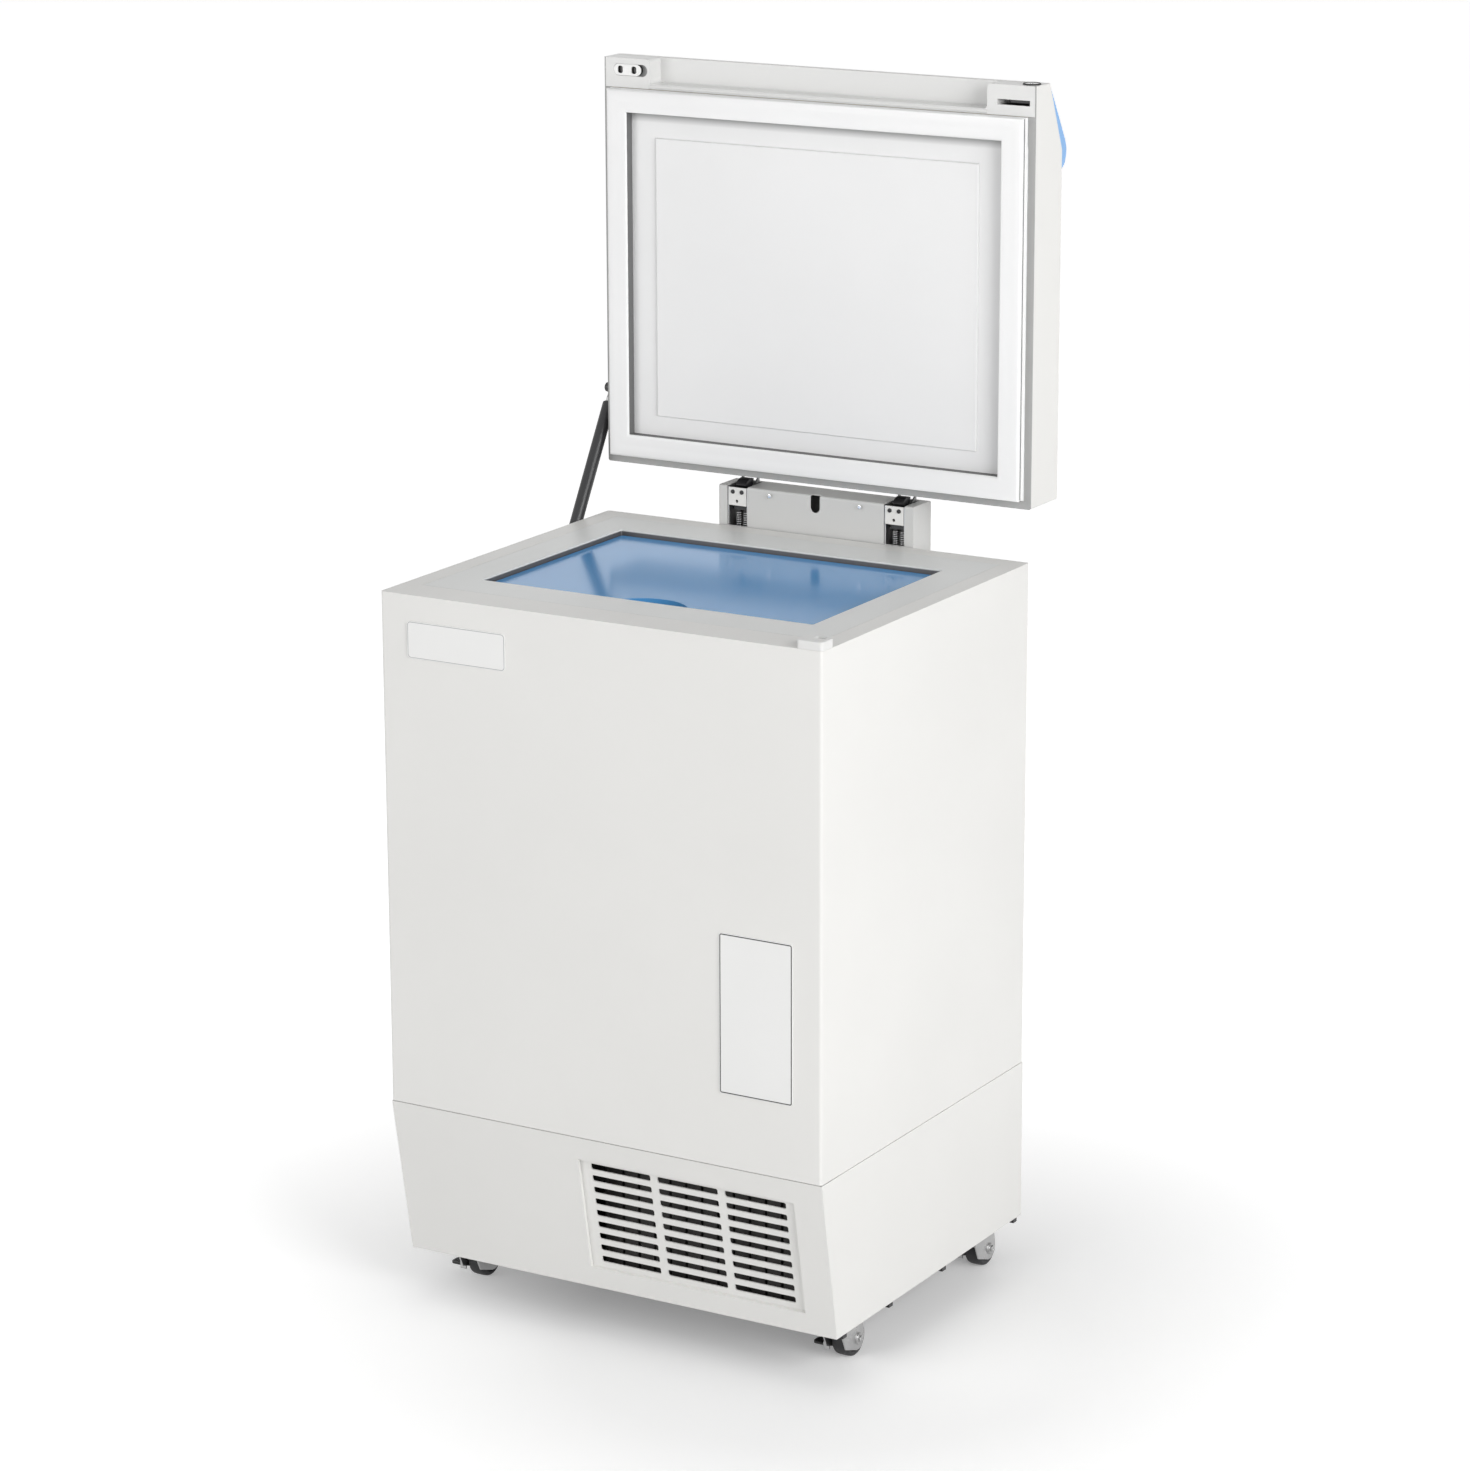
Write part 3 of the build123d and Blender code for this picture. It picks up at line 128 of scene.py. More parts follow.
def mix_colour(tree, factor, first, second):
    """A mix of two colours or sockets by a factor, in a Mix node that has sockets for many types."""
    colour_a = 6
    colour_b = 7
    colour_result = 2
    node = tree.nodes.new("ShaderNodeMix")
    node.data_type = "RGBA"
    tree.links.new(factor, node.inputs["Factor"])
    for number, value in ((colour_a, first), (colour_b, second)):
        if isinstance(value, tuple):
            node.inputs[number].default_value = value
        else:
            tree.links.new(value, node.inputs[number])
    return node.outputs[colour_result]


dust_scale = 260.0
grain_group, start, end = new_group(
    "grain_and_patches", [("Grain scale", 900.0), ("Patch scale", 3.0)], ["Grain", "Patches", "Dust"])
grain = noise(grain_group, start.outputs["Vector"], start.outputs["Grain scale"], detail=3.0, rough=0.6)
patches = noise(grain_group, start.outputs["Vector"], start.outputs["Patch scale"], detail=3.0, rough=0.55)
dust = noise(grain_group, start.outputs["Vector"], dust_scale, detail=5.0, rough=0.8)
grain_group.links.new(grain, end.inputs["Grain"])
grain_group.links.new(remap(grain_group, patches, 0.35, 0.65), end.inputs["Patches"])
grain_group.links.new(remap(grain_group, dust, 0.60, 0.75), end.inputs["Dust"])
print("group", grain_group.name)

# %% [markdown]
# An edge is where the rounded normal of a Bevel node leaves the plain one. The mask of it is
# broken up by noise, so that the rub along an edge comes and goes as on a used machine.

# %% Group for rubbed edges
bevel_samples = 4
rubbed_width = 0.0012
edge_group, start, end = new_group("rubbed_edges", [("Breakup scale", 40.0)], ["Edge"])
rounded = edge_group.nodes.new("ShaderNodeBevel")
rounded.samples = bevel_samples
rounded.inputs["Radius"].default_value = rubbed_width
plain = edge_group.nodes.new("ShaderNodeNewGeometry")
dot = edge_group.nodes.new("ShaderNodeVectorMath")
dot.operation = "DOT_PRODUCT"
edge_group.links.new(rounded.outputs["Normal"], dot.inputs[0])
edge_group.links.new(plain.outputs["Normal"], dot.inputs[1])
near_edge = remap(edge_group, dot.outputs["Value"], 0.995, 0.90)
breakup = noise(edge_group, start.outputs["Vector"], start.outputs["Breakup scale"], detail=4.0, rough=0.7)
broken = remap(edge_group, breakup, 0.35, 0.65, 0.25, 1.0)
edge_group.links.new(combine(edge_group, "MULTIPLY", near_edge, broken), end.inputs["Edge"])
print("group", edge_group.name)

# %% [markdown]
# ## The finishes
# One function lays out a finish: the colour drifts a little over slow patches, dust and rubbed
# edges tint it, the gloss follows the patches, and the grain becomes a shallow bump. The values
# make it paint, moulded plastic, rubber or bare metal.

# %% Helper that lays out a finish
dust_colour = (0.32, 0.30, 0.27, 1.0)


def finish(name, colour, rough=0.4, metal=0.0, grain_scale=900.0, grain_depth=0.00004,
           grain_strength=0.25, patch_scale=3.0, drift=0.05, dust=0.03, wear=0.25, wear_colour=None,
           round_edge=0.0006, coat=0.0, stretch=(1.0, 1.0, 1.0)):
    """A material with a drifting colour, a little dust, rubbed and rounded edges and a fine grain."""
    material = bpy.data.materials.new(name)
    material.use_nodes = True
    tree = material.node_tree
    shader = tree.nodes["Principled BSDF"]
    shader.inputs["Metallic"].default_value = metal
    shader.inputs["Coat Weight"].default_value = coat
    shader.inputs["Coat Roughness"].default_value = 0.08
    coords = tree.nodes.new("ShaderNodeTexCoord")
    mapping = tree.nodes.new("ShaderNodeMapping")
    mapping.inputs["Scale"].default_value = stretch
    tree.links.new(coords.outputs["Object"], mapping.inputs["Vector"])
    life = tree.nodes.new("ShaderNodeGroup")
    life.node_tree = grain_group
    life.inputs["Grain scale"].default_value = grain_scale
    life.inputs["Patch scale"].default_value = patch_scale
    tree.links.new(mapping.outputs["Vector"], life.inputs["Vector"])
    edges = tree.nodes.new("ShaderNodeGroup")
    edges.node_tree = edge_group
    tree.links.new(coords.outputs["Object"], edges.inputs["Vector"])

    darker = tuple(c * (1.0 - drift) for c in colour) + (1.0,)
    drifting = mix_colour(tree, life.outputs["Patches"], tuple(colour) + (1.0,), darker)
    dusting = combine(tree, "MULTIPLY", life.outputs["Dust"], dust)
    dusty = mix_colour(tree, dusting, drifting, dust_colour)
    rubbed = wear_colour or tuple(min(1.0, c * 1.08 + 0.02) for c in colour)
    rubbing = combine(tree, "MULTIPLY", edges.outputs["Edge"], wear)
    worn = mix_colour(tree, rubbing, dusty, tuple(rubbed) + (1.0,))
    tree.links.new(worn, shader.inputs["Base Color"])
    gloss = remap(tree, life.outputs["Patches"], 0.0, 1.0, rough * 0.9, min(1.0, rough * 1.12))
    tree.links.new(gloss, shader.inputs["Roughness"])

    bevel = tree.nodes.new("ShaderNodeBevel")
    bevel.samples = bevel_samples
    bevel.inputs["Radius"].default_value = round_edge
    bump = tree.nodes.new("ShaderNodeBump")
    bump.inputs["Strength"].default_value = grain_strength
    bump.inputs["Distance"].default_value = grain_depth
    tree.links.new(life.outputs["Grain"], bump.inputs["Height"])
    tree.links.new(bevel.outputs["Normal"], bump.inputs["Normal"])
    tree.links.new(bump.outputs["Normal"], shader.inputs["Normal"])
    return material


# %% [markdown]
# The values below are linear colours. The cabinet is a warm white baked paint with a faint orange
# peel, the collar and grip are satin mouldings, and the inner cover is a glossy blue moulding.

# %% The finishes of the freezer
paint = (0.79, 0.785, 0.765)
film_white = (0.83, 0.83, 0.82)
moulding_white = (0.75, 0.75, 0.74)
finishes = {
    "body_white": finish("cabinet_paint", paint, 0.42, grain_scale=700.0, drift=0.02, dust=0.015),
    "plate_white": finish("plate_film", film_white, 0.22, drift=0.02, coat=0.3),
    "collar_grey": finish("collar_moulding", (0.76, 0.77, 0.76), 0.38, grain_scale=1500.0, drift=0.03),
    "steel": finish("satin_steel", (0.56, 0.56, 0.56), 0.30, metal=1.0, stretch=(1.0, 12.0, 12.0),
                    drift=0.10),
    "bright_steel": finish("polished_steel", (0.66, 0.66, 0.66), 0.16, metal=1.0, drift=0.05),
    "dark_metal": finish("black_steel", (0.022, 0.022, 0.024), 0.32, drift=0.15,
                         wear_colour=(0.10, 0.10, 0.10)),
    "foam": finish("foam", (0.72, 0.62, 0.38), 0.85, grain_scale=450.0, grain_depth=0.0004, drift=0.15),
    "cover_blue": finish("cover_moulding", (0.09, 0.33, 0.68), 0.13, grain_scale=60.0, grain_depth=0.0001,
                         drift=0.05),
    "white_plastic": finish("white_moulding", moulding_white, 0.30, grain_scale=1600.0, drift=0.02),
    "gasket_white": finish("gasket_rubber", (0.92, 0.92, 0.92), 0.48, grain_scale=1300.0, drift=0.03),
    "liner_white": finish("liner_sheet", (0.86, 0.86, 0.86), 0.36, grain_scale=900.0, drift=0.03),
    "console_blue": finish("console_moulding", (0.24, 0.46, 0.80), 0.32, grain_scale=1500.0, drift=0.05),
    "display_dark": finish("display_window", (0.006, 0.008, 0.012), 0.10, drift=0.1, coat=0.6),
    "keypad_grey": finish("keypad_film", (0.30, 0.36, 0.45), 0.45, grain_scale=2200.0, drift=0.05),
    "black_plastic": finish("black_moulding", (0.018, 0.018, 0.018), 0.45, grain_scale=1500.0, drift=0.2,
                            wear_colour=(0.07, 0.07, 0.07)),
    "wheel_grey": finish("wheel_tread", (0.03, 0.03, 0.032), 0.55, grain_scale=900.0, drift=0.2),
    "copper": finish("fin_metal", (0.045, 0.042, 0.040), 0.50, metal=0.3, drift=0.2),
    "machine_black": finish("compressor_enamel", (0.012, 0.012, 0.012), 0.22, drift=0.2),
}
for part in frame["record"]["subparts"]:
    node = frame["nodes"][part["node"]]
    node.data.materials.clear()
    node.data.materials.append(finishes[part["material_slot"]])
print("finishes", len(finishes))

# %% [markdown]
# Some finishes change inside one piece. A mask on Object coordinates, which are the freezer's own
# metres, lays a second colour over the first. The masks here are a step along one axis, a pocket cut
# into a face, and a thin line along the edge of a plate.

# %% Helpers for second colours
def split_place(tree):
    """The X, Y and Z of a place on the freezer, as three sockets."""
    coords = tree.nodes.new("ShaderNodeTexCoord")
    split = tree.nodes.new("ShaderNodeSeparateXYZ")
    tree.links.new(coords.outputs["Object"], split.inputs["Vector"])
    return split.outputs


def axis_mask(tree, axis, zero_at, one_at):
    """A step along an axis, from zero at the first value to one at the second."""
    return remap(tree, split_place(tree)[axis], zero_at, one_at)


def pocket_mask(tree, x_range, z_range, face, depth, soft=0.0004):
    """One inside a box that starts at a depth behind a face of the lid."""
    masks = [axis_mask(tree, "X", x_range[0], x_range[0] + soft),
             axis_mask(tree, "X", x_range[1], x_range[1] - soft),
             axis_mask(tree, "Z", z_range[0], z_range[0] + soft),
             axis_mask(tree, "Z", z_range[1], z_range[1] - soft),
             axis_mask(tree, "Y", face + depth, face + depth + soft)]
    whole = masks[0]
    for mask in masks[1:]:
        whole = combine(tree, "MULTIPLY", whole, mask)
    return whole


def border_mask(tree, middle, half_size, corner, inset, width):
    """A thin rounded line that runs along the edge of a plate facing the front."""
    place = split_place(tree)
    over = []
    for axis, centre, half in (("X", middle[0], half_size[0]), ("Z", middle[2], half_size[1])):
        reach = combine(tree, "ABSOLUTE", combine(tree, "SUBTRACT", place[axis], centre), 0.0)
        over.append(combine(tree, "SUBTRACT", reach, half - corner))
    outside = [combine(tree, "MAXIMUM", value, 0.0) for value in over]
    squares = [combine(tree, "MULTIPLY", value, value) for value in outside]
    diagonal = combine(tree, "SQRT", combine(tree, "ADD", squares[0], squares[1]), 0.0)
    inside = combine(tree, "MINIMUM", combine(tree, "MAXIMUM", over[0], over[1]), 0.0)
    depth = combine(tree, "SUBTRACT", corner, combine(tree, "ADD", diagonal, inside))
    off_line = combine(tree, "ABSOLUTE", combine(tree, "SUBTRACT", depth, inset), 0.0)
    return remap(tree, off_line, width, width * 0.7)


def overlay(material, mask, colour):
    """Lay a second colour over a finish where the mask is one."""
    tree = material.node_tree
    shader = tree.nodes["Principled BSDF"]
    under = shader.inputs["Base Color"].links[0].from_socket
    tree.links.new(mix_colour(tree, mask, under, colour + (1.0,)), shader.inputs["Base Color"])


def wear_finish(node, material):
    """Give one solid a finish of its own."""
    frame["nodes"][node].data.materials[0] = material


# %% [markdown]
# Down in the throat, the collar's lip carries a painted shade in dark grey on the throat's walls. The
# cover over the hinges has its own grey paint, the arms under the lid are zinc plated, and the cam of
# the lock is black.

# %% Throat, hinge cover, arms and cam
throat_edge = 0.0015
collar_finish = finishes["collar_grey"]
# Painted shade: collar faces lower than 1.5 mm below the top turn dark grey.
overlay(collar_finish,
        axis_mask(collar_finish.node_tree, "Z", top_z - throat_edge, top_z - 2 * throat_edge),
        (0.09, 0.09, 0.095))
wear_finish("hinge_cover", finish("hinge_cover_paint", (0.62, 0.62, 0.61), 0.40, grain_scale=700.0,
                                  drift=0.03))
wear_finish("hinge_arms", finish("arm_zinc", (0.30, 0.30, 0.30), 0.38, metal=0.7, drift=0.08))
wear_finish("lock_cam", finishes["dark_metal"])
print("throat from", round(top_z - throat_edge, 4))

# %% [markdown]
# The insert at the lid's corner is whiter than the grip. Deeper than a little behind its front face,
# in its two holes and on its sides, it carries a painted shade in black. In the grip, the pocket around
# that insert carries a painted shade in grey, and the slot in which the cam turns a painted shade in black.

# %% Corner insert and grip
insert_low, insert_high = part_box("corner_insert")
hole_start = 0.0006
hole_end = 0.0016
insert_finish = finish("insert_moulding", (0.88, 0.88, 0.87), 0.28, grain_scale=1600.0, drift=0.02)
# Painted shade: the insert is black deeper than 1.6 mm behind its front face, in its holes and on its sides.
overlay(insert_finish,
        axis_mask(insert_finish.node_tree, "Y", insert_low[1] + hole_start, insert_low[1] + hole_end),
        (0.01, 0.01, 0.01))
wear_finish("corner_insert", insert_finish)

cam_low, cam_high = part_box("lock_cam")
slot_room = 0.0022
slot_ends = (0.006, 0.004)
slot_depth = 0.0004
pocket_ends = (0.002, 0.013)
pocket_room = 0.001
pocket_depth = 0.0008
grip_finish = finish("grip_moulding", moulding_white, 0.30, grain_scale=1600.0, drift=0.02)
# Painted shade: black inside the slot in which the cam turns.
overlay(grip_finish,
        pocket_mask(grip_finish.node_tree, (cam_low[0] - slot_ends[0], cam_high[0] + slot_ends[1]),
                    (cam_low[2] - slot_room, cam_high[2] + slot_room), lid_face_y, slot_depth),
        (0.008, 0.008, 0.008))
# Painted shade: grey in the pocket around the corner insert.
overlay(grip_finish,
        pocket_mask(grip_finish.node_tree, (insert_low[0] - pocket_ends[0], insert_high[0] + pocket_ends[1]),
                    (insert_low[2] - pocket_room, insert_high[2] + pocket_room), lid_face_y, pocket_depth),
        (0.30, 0.30, 0.30))
wear_finish("front_grip", grip_finish)
print("grip slot", round(cam_high[0] - cam_low[0] + sum(slot_ends), 4), "m long")

# %% [markdown]
# The lid's sheet carries a painted shadow in grey on the flange around its gasket, where the gasket
# would shade it. The liner has a soft painted shade band, darker, close under the gasket's top edge.

# %% Lid flange and liner
flange_start = 0.0009
flange_end = 0.0007
lid_finish = finish("lid_paint", paint, 0.42, grain_scale=700.0, drift=0.02, dust=0.015)
# Painted shadow: the lid's foremost face, the flange around the gasket, turns grey.
overlay(lid_finish,
        axis_mask(lid_finish.node_tree, "Y", lid_face_y + flange_start, lid_face_y + flange_end),
        (0.40, 0.40, 0.395))
wear_finish("lid_shell", lid_finish)

gasket_width = 0.031
band_start = 0.013
band_end = 0.003
liner_finish = finishes["liner_white"]
liner_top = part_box("gasket")[1][2] - gasket_width
# Painted shade: a darker band on the liner just under the gasket's top edge.
overlay(liner_finish,
        axis_mask(liner_finish.node_tree, "Z", liner_top - band_start, liner_top - band_end),
        (0.42, 0.42, 0.42))
print("liner band below", round(liner_top, 4))

# %% [markdown]
# The glossy blue cover tints what faces it less than its own colour would, so the soft light that
# leaves it for other surfaces is greyer than the cover itself.

# %% Blue cover in soft light
cover_finish = finishes["cover_blue"]
path = cover_finish.node_tree.nodes.new("ShaderNodeLightPath")
overlay(cover_finish, path.outputs["Is Diffuse Ray"], (0.40, 0.42, 0.46))
print("greyed for soft light:", cover_finish.name)

# %% [markdown]
# The two plates on the front are blank films with a thin border, rounded at the corners: printed ink
# on the label, and a painted shade along the edge of the badge. Each line gives the corner's radius,
# how far the border lies in, its half width and its colour: ink for the label, painted shade for the badge.

# %% Borders of the front plates
# The badge's grey line is painted shade, and the label's black line is printed ink.
plate_borders = (("badge_plate", 0.006, 0.0016, 0.0006, (0.42, 0.42, 0.43)),
                 ("label_plate", 0.004, 0.0018, 0.0009, (0.03, 0.03, 0.03)))
for node, corner, inset, width, ink_and_shade in plate_borders:
    low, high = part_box(node)
    film = finish(node + "_film", film_white, 0.22, drift=0.02, coat=0.3)
    half_size = ((high[0] - low[0]) / 2, (high[2] - low[2]) / 2)
    centre = [(a + b) / 2 for a, b in zip(low, high)]
    overlay(film, border_mask(film.node_tree, centre, half_size, corner, inset, width), ink_and_shade)
    wear_finish(node, film)
print("plates with a border", len(plate_borders))

# %% [markdown]
# ## How the small pieces are made
# Screws, nuts, wheels, springs and keys repeat, so each is modelled once at the origin and then
# copied. A lathe helper draws a profile by extruding one vertex and spins it. A copy gets its own
# mesh with its place in it, rides on the body that carries it, and takes one of the finishes.

# %% Helpers for modelling
smooth_below = math.radians(35.0)
weld_distance = 0.00001


def pick(piece):
    """Select one piece alone and make it the active one."""
    bpy.ops.object.select_all(action="DESELECT")
    piece.select_set(True)
    bpy.context.view_layer.objects.active = piece


def pick_faces(piece, test):
    """In edit mode, select the faces whose centre and normal pass the test."""
    bpy.ops.mesh.select_mode(type="FACE")
    bpy.ops.mesh.select_all(action="DESELECT")
    mesh = bmesh.from_edit_mesh(piece.data)
    for face in mesh.faces:
        face.select_set(test(face.calc_center_median(), face.normal))
    bmesh.update_edit_mesh(piece.data)


def apply_modifiers(piece):
    """Turn every modifier of a piece into plain mesh."""
    pick(piece)
    for modifier in list(piece.modifiers):
        bpy.ops.object.modifier_apply(modifier=modifier.name)


def round_edges(piece, width, segments=3, angle=30.0):
    """Round every edge that is sharper than the angle."""
    bevel = piece.modifiers.new("round", "BEVEL")
    bevel.width = width
    bevel.segments = segments
    bevel.limit_method = "ANGLE"
    bevel.angle_limit = math.radians(angle)
    bevel.harden_normals = False
    apply_modifiers(piece)
    bpy.ops.object.shade_smooth_by_angle(angle=smooth_below)


def lathe(name, profile, steps=48):
    """Spin a profile of (radius, height) points around the Z axis."""
    bpy.ops.object.select_all(action="DESELECT")
    bpy.ops.mesh.primitive_plane_add(size=0.001)
    piece = bpy.context.object
    piece.name = name
    bpy.ops.object.mode_set(mode="EDIT")
    bpy.ops.mesh.select_mode(type="VERT")
    bpy.ops.mesh.select_all(action="SELECT")
    bpy.ops.mesh.merge(type="CENTER")
    bpy.ops.transform.translate(value=(profile[0][0], 0, profile[0][1]))
    for last, point in zip(profile, profile[1:]):
        step = (point[0] - last[0], 0, point[1] - last[1])
        bpy.ops.mesh.extrude_region_move(TRANSFORM_OT_translate={"value": step})
    bpy.ops.mesh.select_all(action="SELECT")
    bpy.ops.mesh.spin(steps=steps, angle=2 * math.pi, center=(0, 0, 0), axis=(0, 0, 1))
    bpy.ops.mesh.select_all(action="SELECT")
    bpy.ops.mesh.remove_doubles(threshold=weld_distance)
    bpy.ops.mesh.normals_make_consistent(inside=False)
    bpy.ops.object.mode_set(mode="OBJECT")
    pick(piece)
    bpy.ops.object.shade_smooth_by_angle(angle=smooth_below)
    return piece


def facing(place, direction):
    """The matrix that takes a piece from the origin, its Z axis turned to a direction, to a place."""
    turn = Vector(direction).to_track_quat("Z", "Y")
    return Matrix.Translation(Vector(place)) @ turn.to_matrix().to_4x4()


def put(master, name, matrix, body, slot):
    """Copy a master with its own mesh, place it, give it a finish and let it ride on a body."""
    mesh = master.data.copy()
    mesh.transform(matrix)
    mesh.materials.clear()
    mesh.materials.append(finishes[slot])
    piece = bpy.data.objects.new(name, mesh)
    bpy.context.scene.collection.objects.link(piece)
    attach(piece, body)
    return piece


def put_all(master, name, places, direction, body, slot):
    """Copies of one master at several places, all facing one way."""
    for number, place in enumerate(places, 1):
        put(master, f"{name}_{number}", facing(place, direction), body, slot)
    print(name, len(places))


def cube(size):
    """A box at the origin, with its size in its mesh."""
    bpy.ops.object.select_all(action="DESELECT")
    bpy.ops.mesh.primitive_cube_add(size=1.0)
    piece = bpy.context.object
    piece.scale = size
    bpy.ops.object.transform_apply(location=False, rotation=False, scale=True)
    return piece


def discard(*masters):
    """Remove the masters once their copies are placed."""
    for master in masters:
        bpy.data.objects.remove(master)


# %% [markdown]
# ## Screws and nuts
# The hinge cover, the hinge plates and the rear cover are held by small pan-head screws with a
# cross recess. The head is a spun dome, and two thin crossed blades are cut out of it.

# %% Pan-head screw
def pan_screw(radius, height):
    head = lathe("screw", [(0, -0.0002), (radius, -0.0002), (radius, height * 0.35),
                           (radius * 0.93, height * 0.65), (radius * 0.72, height * 0.9),
                           (radius * 0.4, height), (0, height)], 32)
    blade_long = radius * 1.2
    blade_thin = radius * 0.28
    for across, along in ((blade_long, blade_thin), (blade_thin, blade_long)):
        bpy.ops.object.select_all(action="DESELECT")
        bpy.ops.mesh.primitive_cube_add(size=1.0, location=(0, 0, height))
        blade = bpy.context.object
        blade.scale = (across, along, height * 0.9)
        bpy.ops.object.transform_apply(location=True, rotation=False, scale=True)
        cut = head.modifiers.new("cross", "BOOLEAN")
        cut.operation = "DIFFERENCE"
        cut.object = blade
        apply_modifiers(head)
        bpy.data.objects.remove(blade)
    pick(head)
    bpy.ops.object.shade_smooth_by_angle(angle=smooth_below)
    return head


screw_radius = 0.0030
screw_height = 0.0019
flat_height = 0.0003
screw = pan_screw(screw_radius, screw_height)
flat_screw = pan_screw(screw_radius, flat_height)
print("screw faces", len(screw.data.polygons))

# %% [markdown]
# The closed lid passes close in front of the hinge cover, so the two screws there are nearly flush.
# The dark ones hold the hinge plates, and the rest are bright.

# %% Screws on the hinges and the rear
cover_low, cover_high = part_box("hinge_cover")
plates_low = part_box("hinge_plates")[0]
rear_low, rear_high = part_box("rear_cover")
hinge_x = 0.122
screw_rise = 0.047
cover_screw_x = 0.070
guide_screw_x = 0.007
rear_inset = 0.012
rear_screw_x = cover_high[0] - mid_x - rear_inset
cover_middle_z = (cover_low[2] + top_z) / 2

put_all(flat_screw, "cover_screw",
        [(mid_x + side * cover_screw_x, cover_low[1], top_z + screw_rise) for side in (-1, 1)],
        (0, -1, 0), "cabinet", "bright_steel")
put_all(screw, "guide_screw",
        [(mid_x + hinge * hinge_x + side * guide_screw_x, plates_low[1], top_z + screw_rise)
         for hinge in (-1, 1) for side in (-1, 1)],
        (0, -1, 0), "cabinet", "dark_metal")
put_all(screw, "cover_rear_screw",
        [(mid_x + side * rear_screw_x, cover_high[1], z)
         for side in (-1, 1) for z in (cover_low[2] + rear_inset, cover_middle_z, top_z)],
        (0, 1, 0), "cabinet", "bright_steel")
put_all(screw, "rear_screw",
        [(x, rear_high[1], z)
         for x in (rear_low[0] + rear_inset, mid_x, rear_high[0] - rear_inset)
         for z in (rear_low[2] + rear_inset, rear_high[2] - rear_inset)],
        (0, 1, 0), "cabinet", "bright_steel")
discard(screw, flat_screw)

# %% [markdown]
# A caster's plate is bolted up into the rails with four hexagon bolts, and nuts close both ends of
# its axle. A nut starts as a six-sided cylinder on a washer, and its corners are rounded.

# %% Hexagon head on a washer
def hex_head(radius, height, washer):
    bpy.ops.object.select_all(action="DESELECT")
    bpy.ops.mesh.primitive_cylinder_add(vertices=6, radius=radius, depth=height,
                                        location=(0, 0, height / 2 + washer))
    head = bpy.context.object
    bpy.ops.object.transform_apply(location=True, rotation=False, scale=False)
    bpy.ops.object.mode_set(mode="EDIT")
    pick_faces(head, lambda centre, normal: normal.z > 0.9)
    bpy.ops.mesh.inset(thickness=radius * 0.14, depth=height * 0.10)
    bpy.ops.mesh.inset(thickness=radius * 0.38, depth=0)
    bpy.ops.mesh.extrude_region_move(TRANSFORM_OT_translate={"value": (0, 0, -height * 0.3)})
    bpy.ops.object.mode_set(mode="OBJECT")
    round_edges(head, width=radius * 0.05, segments=2)
    ring = lathe("washer", [(0, -0.0001), (radius * 1.35, -0.0001), (radius * 1.35, washer * 0.8),
                            (radius * 1.28, washer), (0, washer)], 32)
    bpy.ops.object.select_all(action="DESELECT")
    ring.select_set(True)
    head.select_set(True)
    bpy.context.view_layer.objects.active = head
    bpy.ops.object.join()
    return head


bolt = hex_head(radius=0.0042, height=0.0030, washer=0.0008)
nut = hex_head(radius=0.0052, height=0.0026, washer=0.0004)
print("bolt faces", len(bolt.data.polygons), "nut faces", len(nut.data.polygons))

# %% [markdown]
# The four bolts of a plate stand in a square around the swivel's axis. The two nuts of an axle lie
# against the cheeks of the fork, so they turn with the swivel.

# %% Bolts and nuts on the casters
corners = ("front_left", "front_right", "rear_left", "rear_right")
casters_low, casters_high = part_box("caster_plates")
plate_thickness = 0.0025
plate_under = casters_high[2] - plate_thickness
plate_half = 0.030
bolt_reach = 0.0235
swivel_reach = 0.284
cheek_reach = 0.0175
for corner in corners:
    side = -1 if corner.endswith("left") else 1
    swivel_x = mid_x + side * swivel_reach
    swivel_y = (casters_low[1] + plate_half) if corner.startswith("front") else (casters_high[1] - plate_half)
    put_all(bolt, "plate_bolt_" + corner,
            [(swivel_x + dx * bolt_reach, swivel_y + dy * bolt_reach, plate_under)
             for dx in (-1, 1) for dy in (-1, 1)],
            (0, 0, -1), "cabinet", "steel")
    wheel_low, wheel_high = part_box("caster_wheel_" + corner)
    axle_y = (wheel_low[1] + wheel_high[1]) / 2
    axle_z = (wheel_low[2] + wheel_high[2]) / 2
    for number, turn in ((2, -1), (1, 1)):
        place = (swivel_x + turn * cheek_reach, axle_y, axle_z)
        put(nut, f"axle_nut_{corner}_{number}", facing(place, (turn, 0, 0)), "swivel_" + corner, "steel")
discard(bolt, nut)

# %% [markdown]
# ## Caster wheels
# The wheel is one dark moulding with a hub, a dish and a tyre whose tread is slightly crowned. It is
# a spun profile, from the bore out over the hub's face, the dish and the sidewall to the tread.

# %% Spun wheels
wheel_low, wheel_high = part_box("caster_wheel_front_left")
tyre = (wheel_high[2] - wheel_low[2]) / 2
halfway = (wheel_high[0] - wheel_low[0]) / 2
wheel_half = [(0.0042, halfway - 0.0006), (0.0046, halfway - 0.0002), (0.0082, halfway - 0.0002),
              (0.0088, halfway - 0.0009), (0.0092, halfway - 0.0022), (0.0150, halfway - 0.0026),
              (0.0176, halfway - 0.0022), (0.0184, halfway - 0.0010), (0.0192, halfway - 0.0003),
              (0.0210, halfway - 0.0001), (0.0226, halfway - 0.0006), (0.0239, halfway - 0.0018),
              (0.0246, halfway - 0.0036), (tyre - 0.0001, halfway - 0.0065), (tyre, 0.0025)]
profile = wheel_half + [(radius, -height) for radius, height in reversed(wheel_half)] + [wheel_half[0]]
wheel = lathe("wheel", profile, 64)
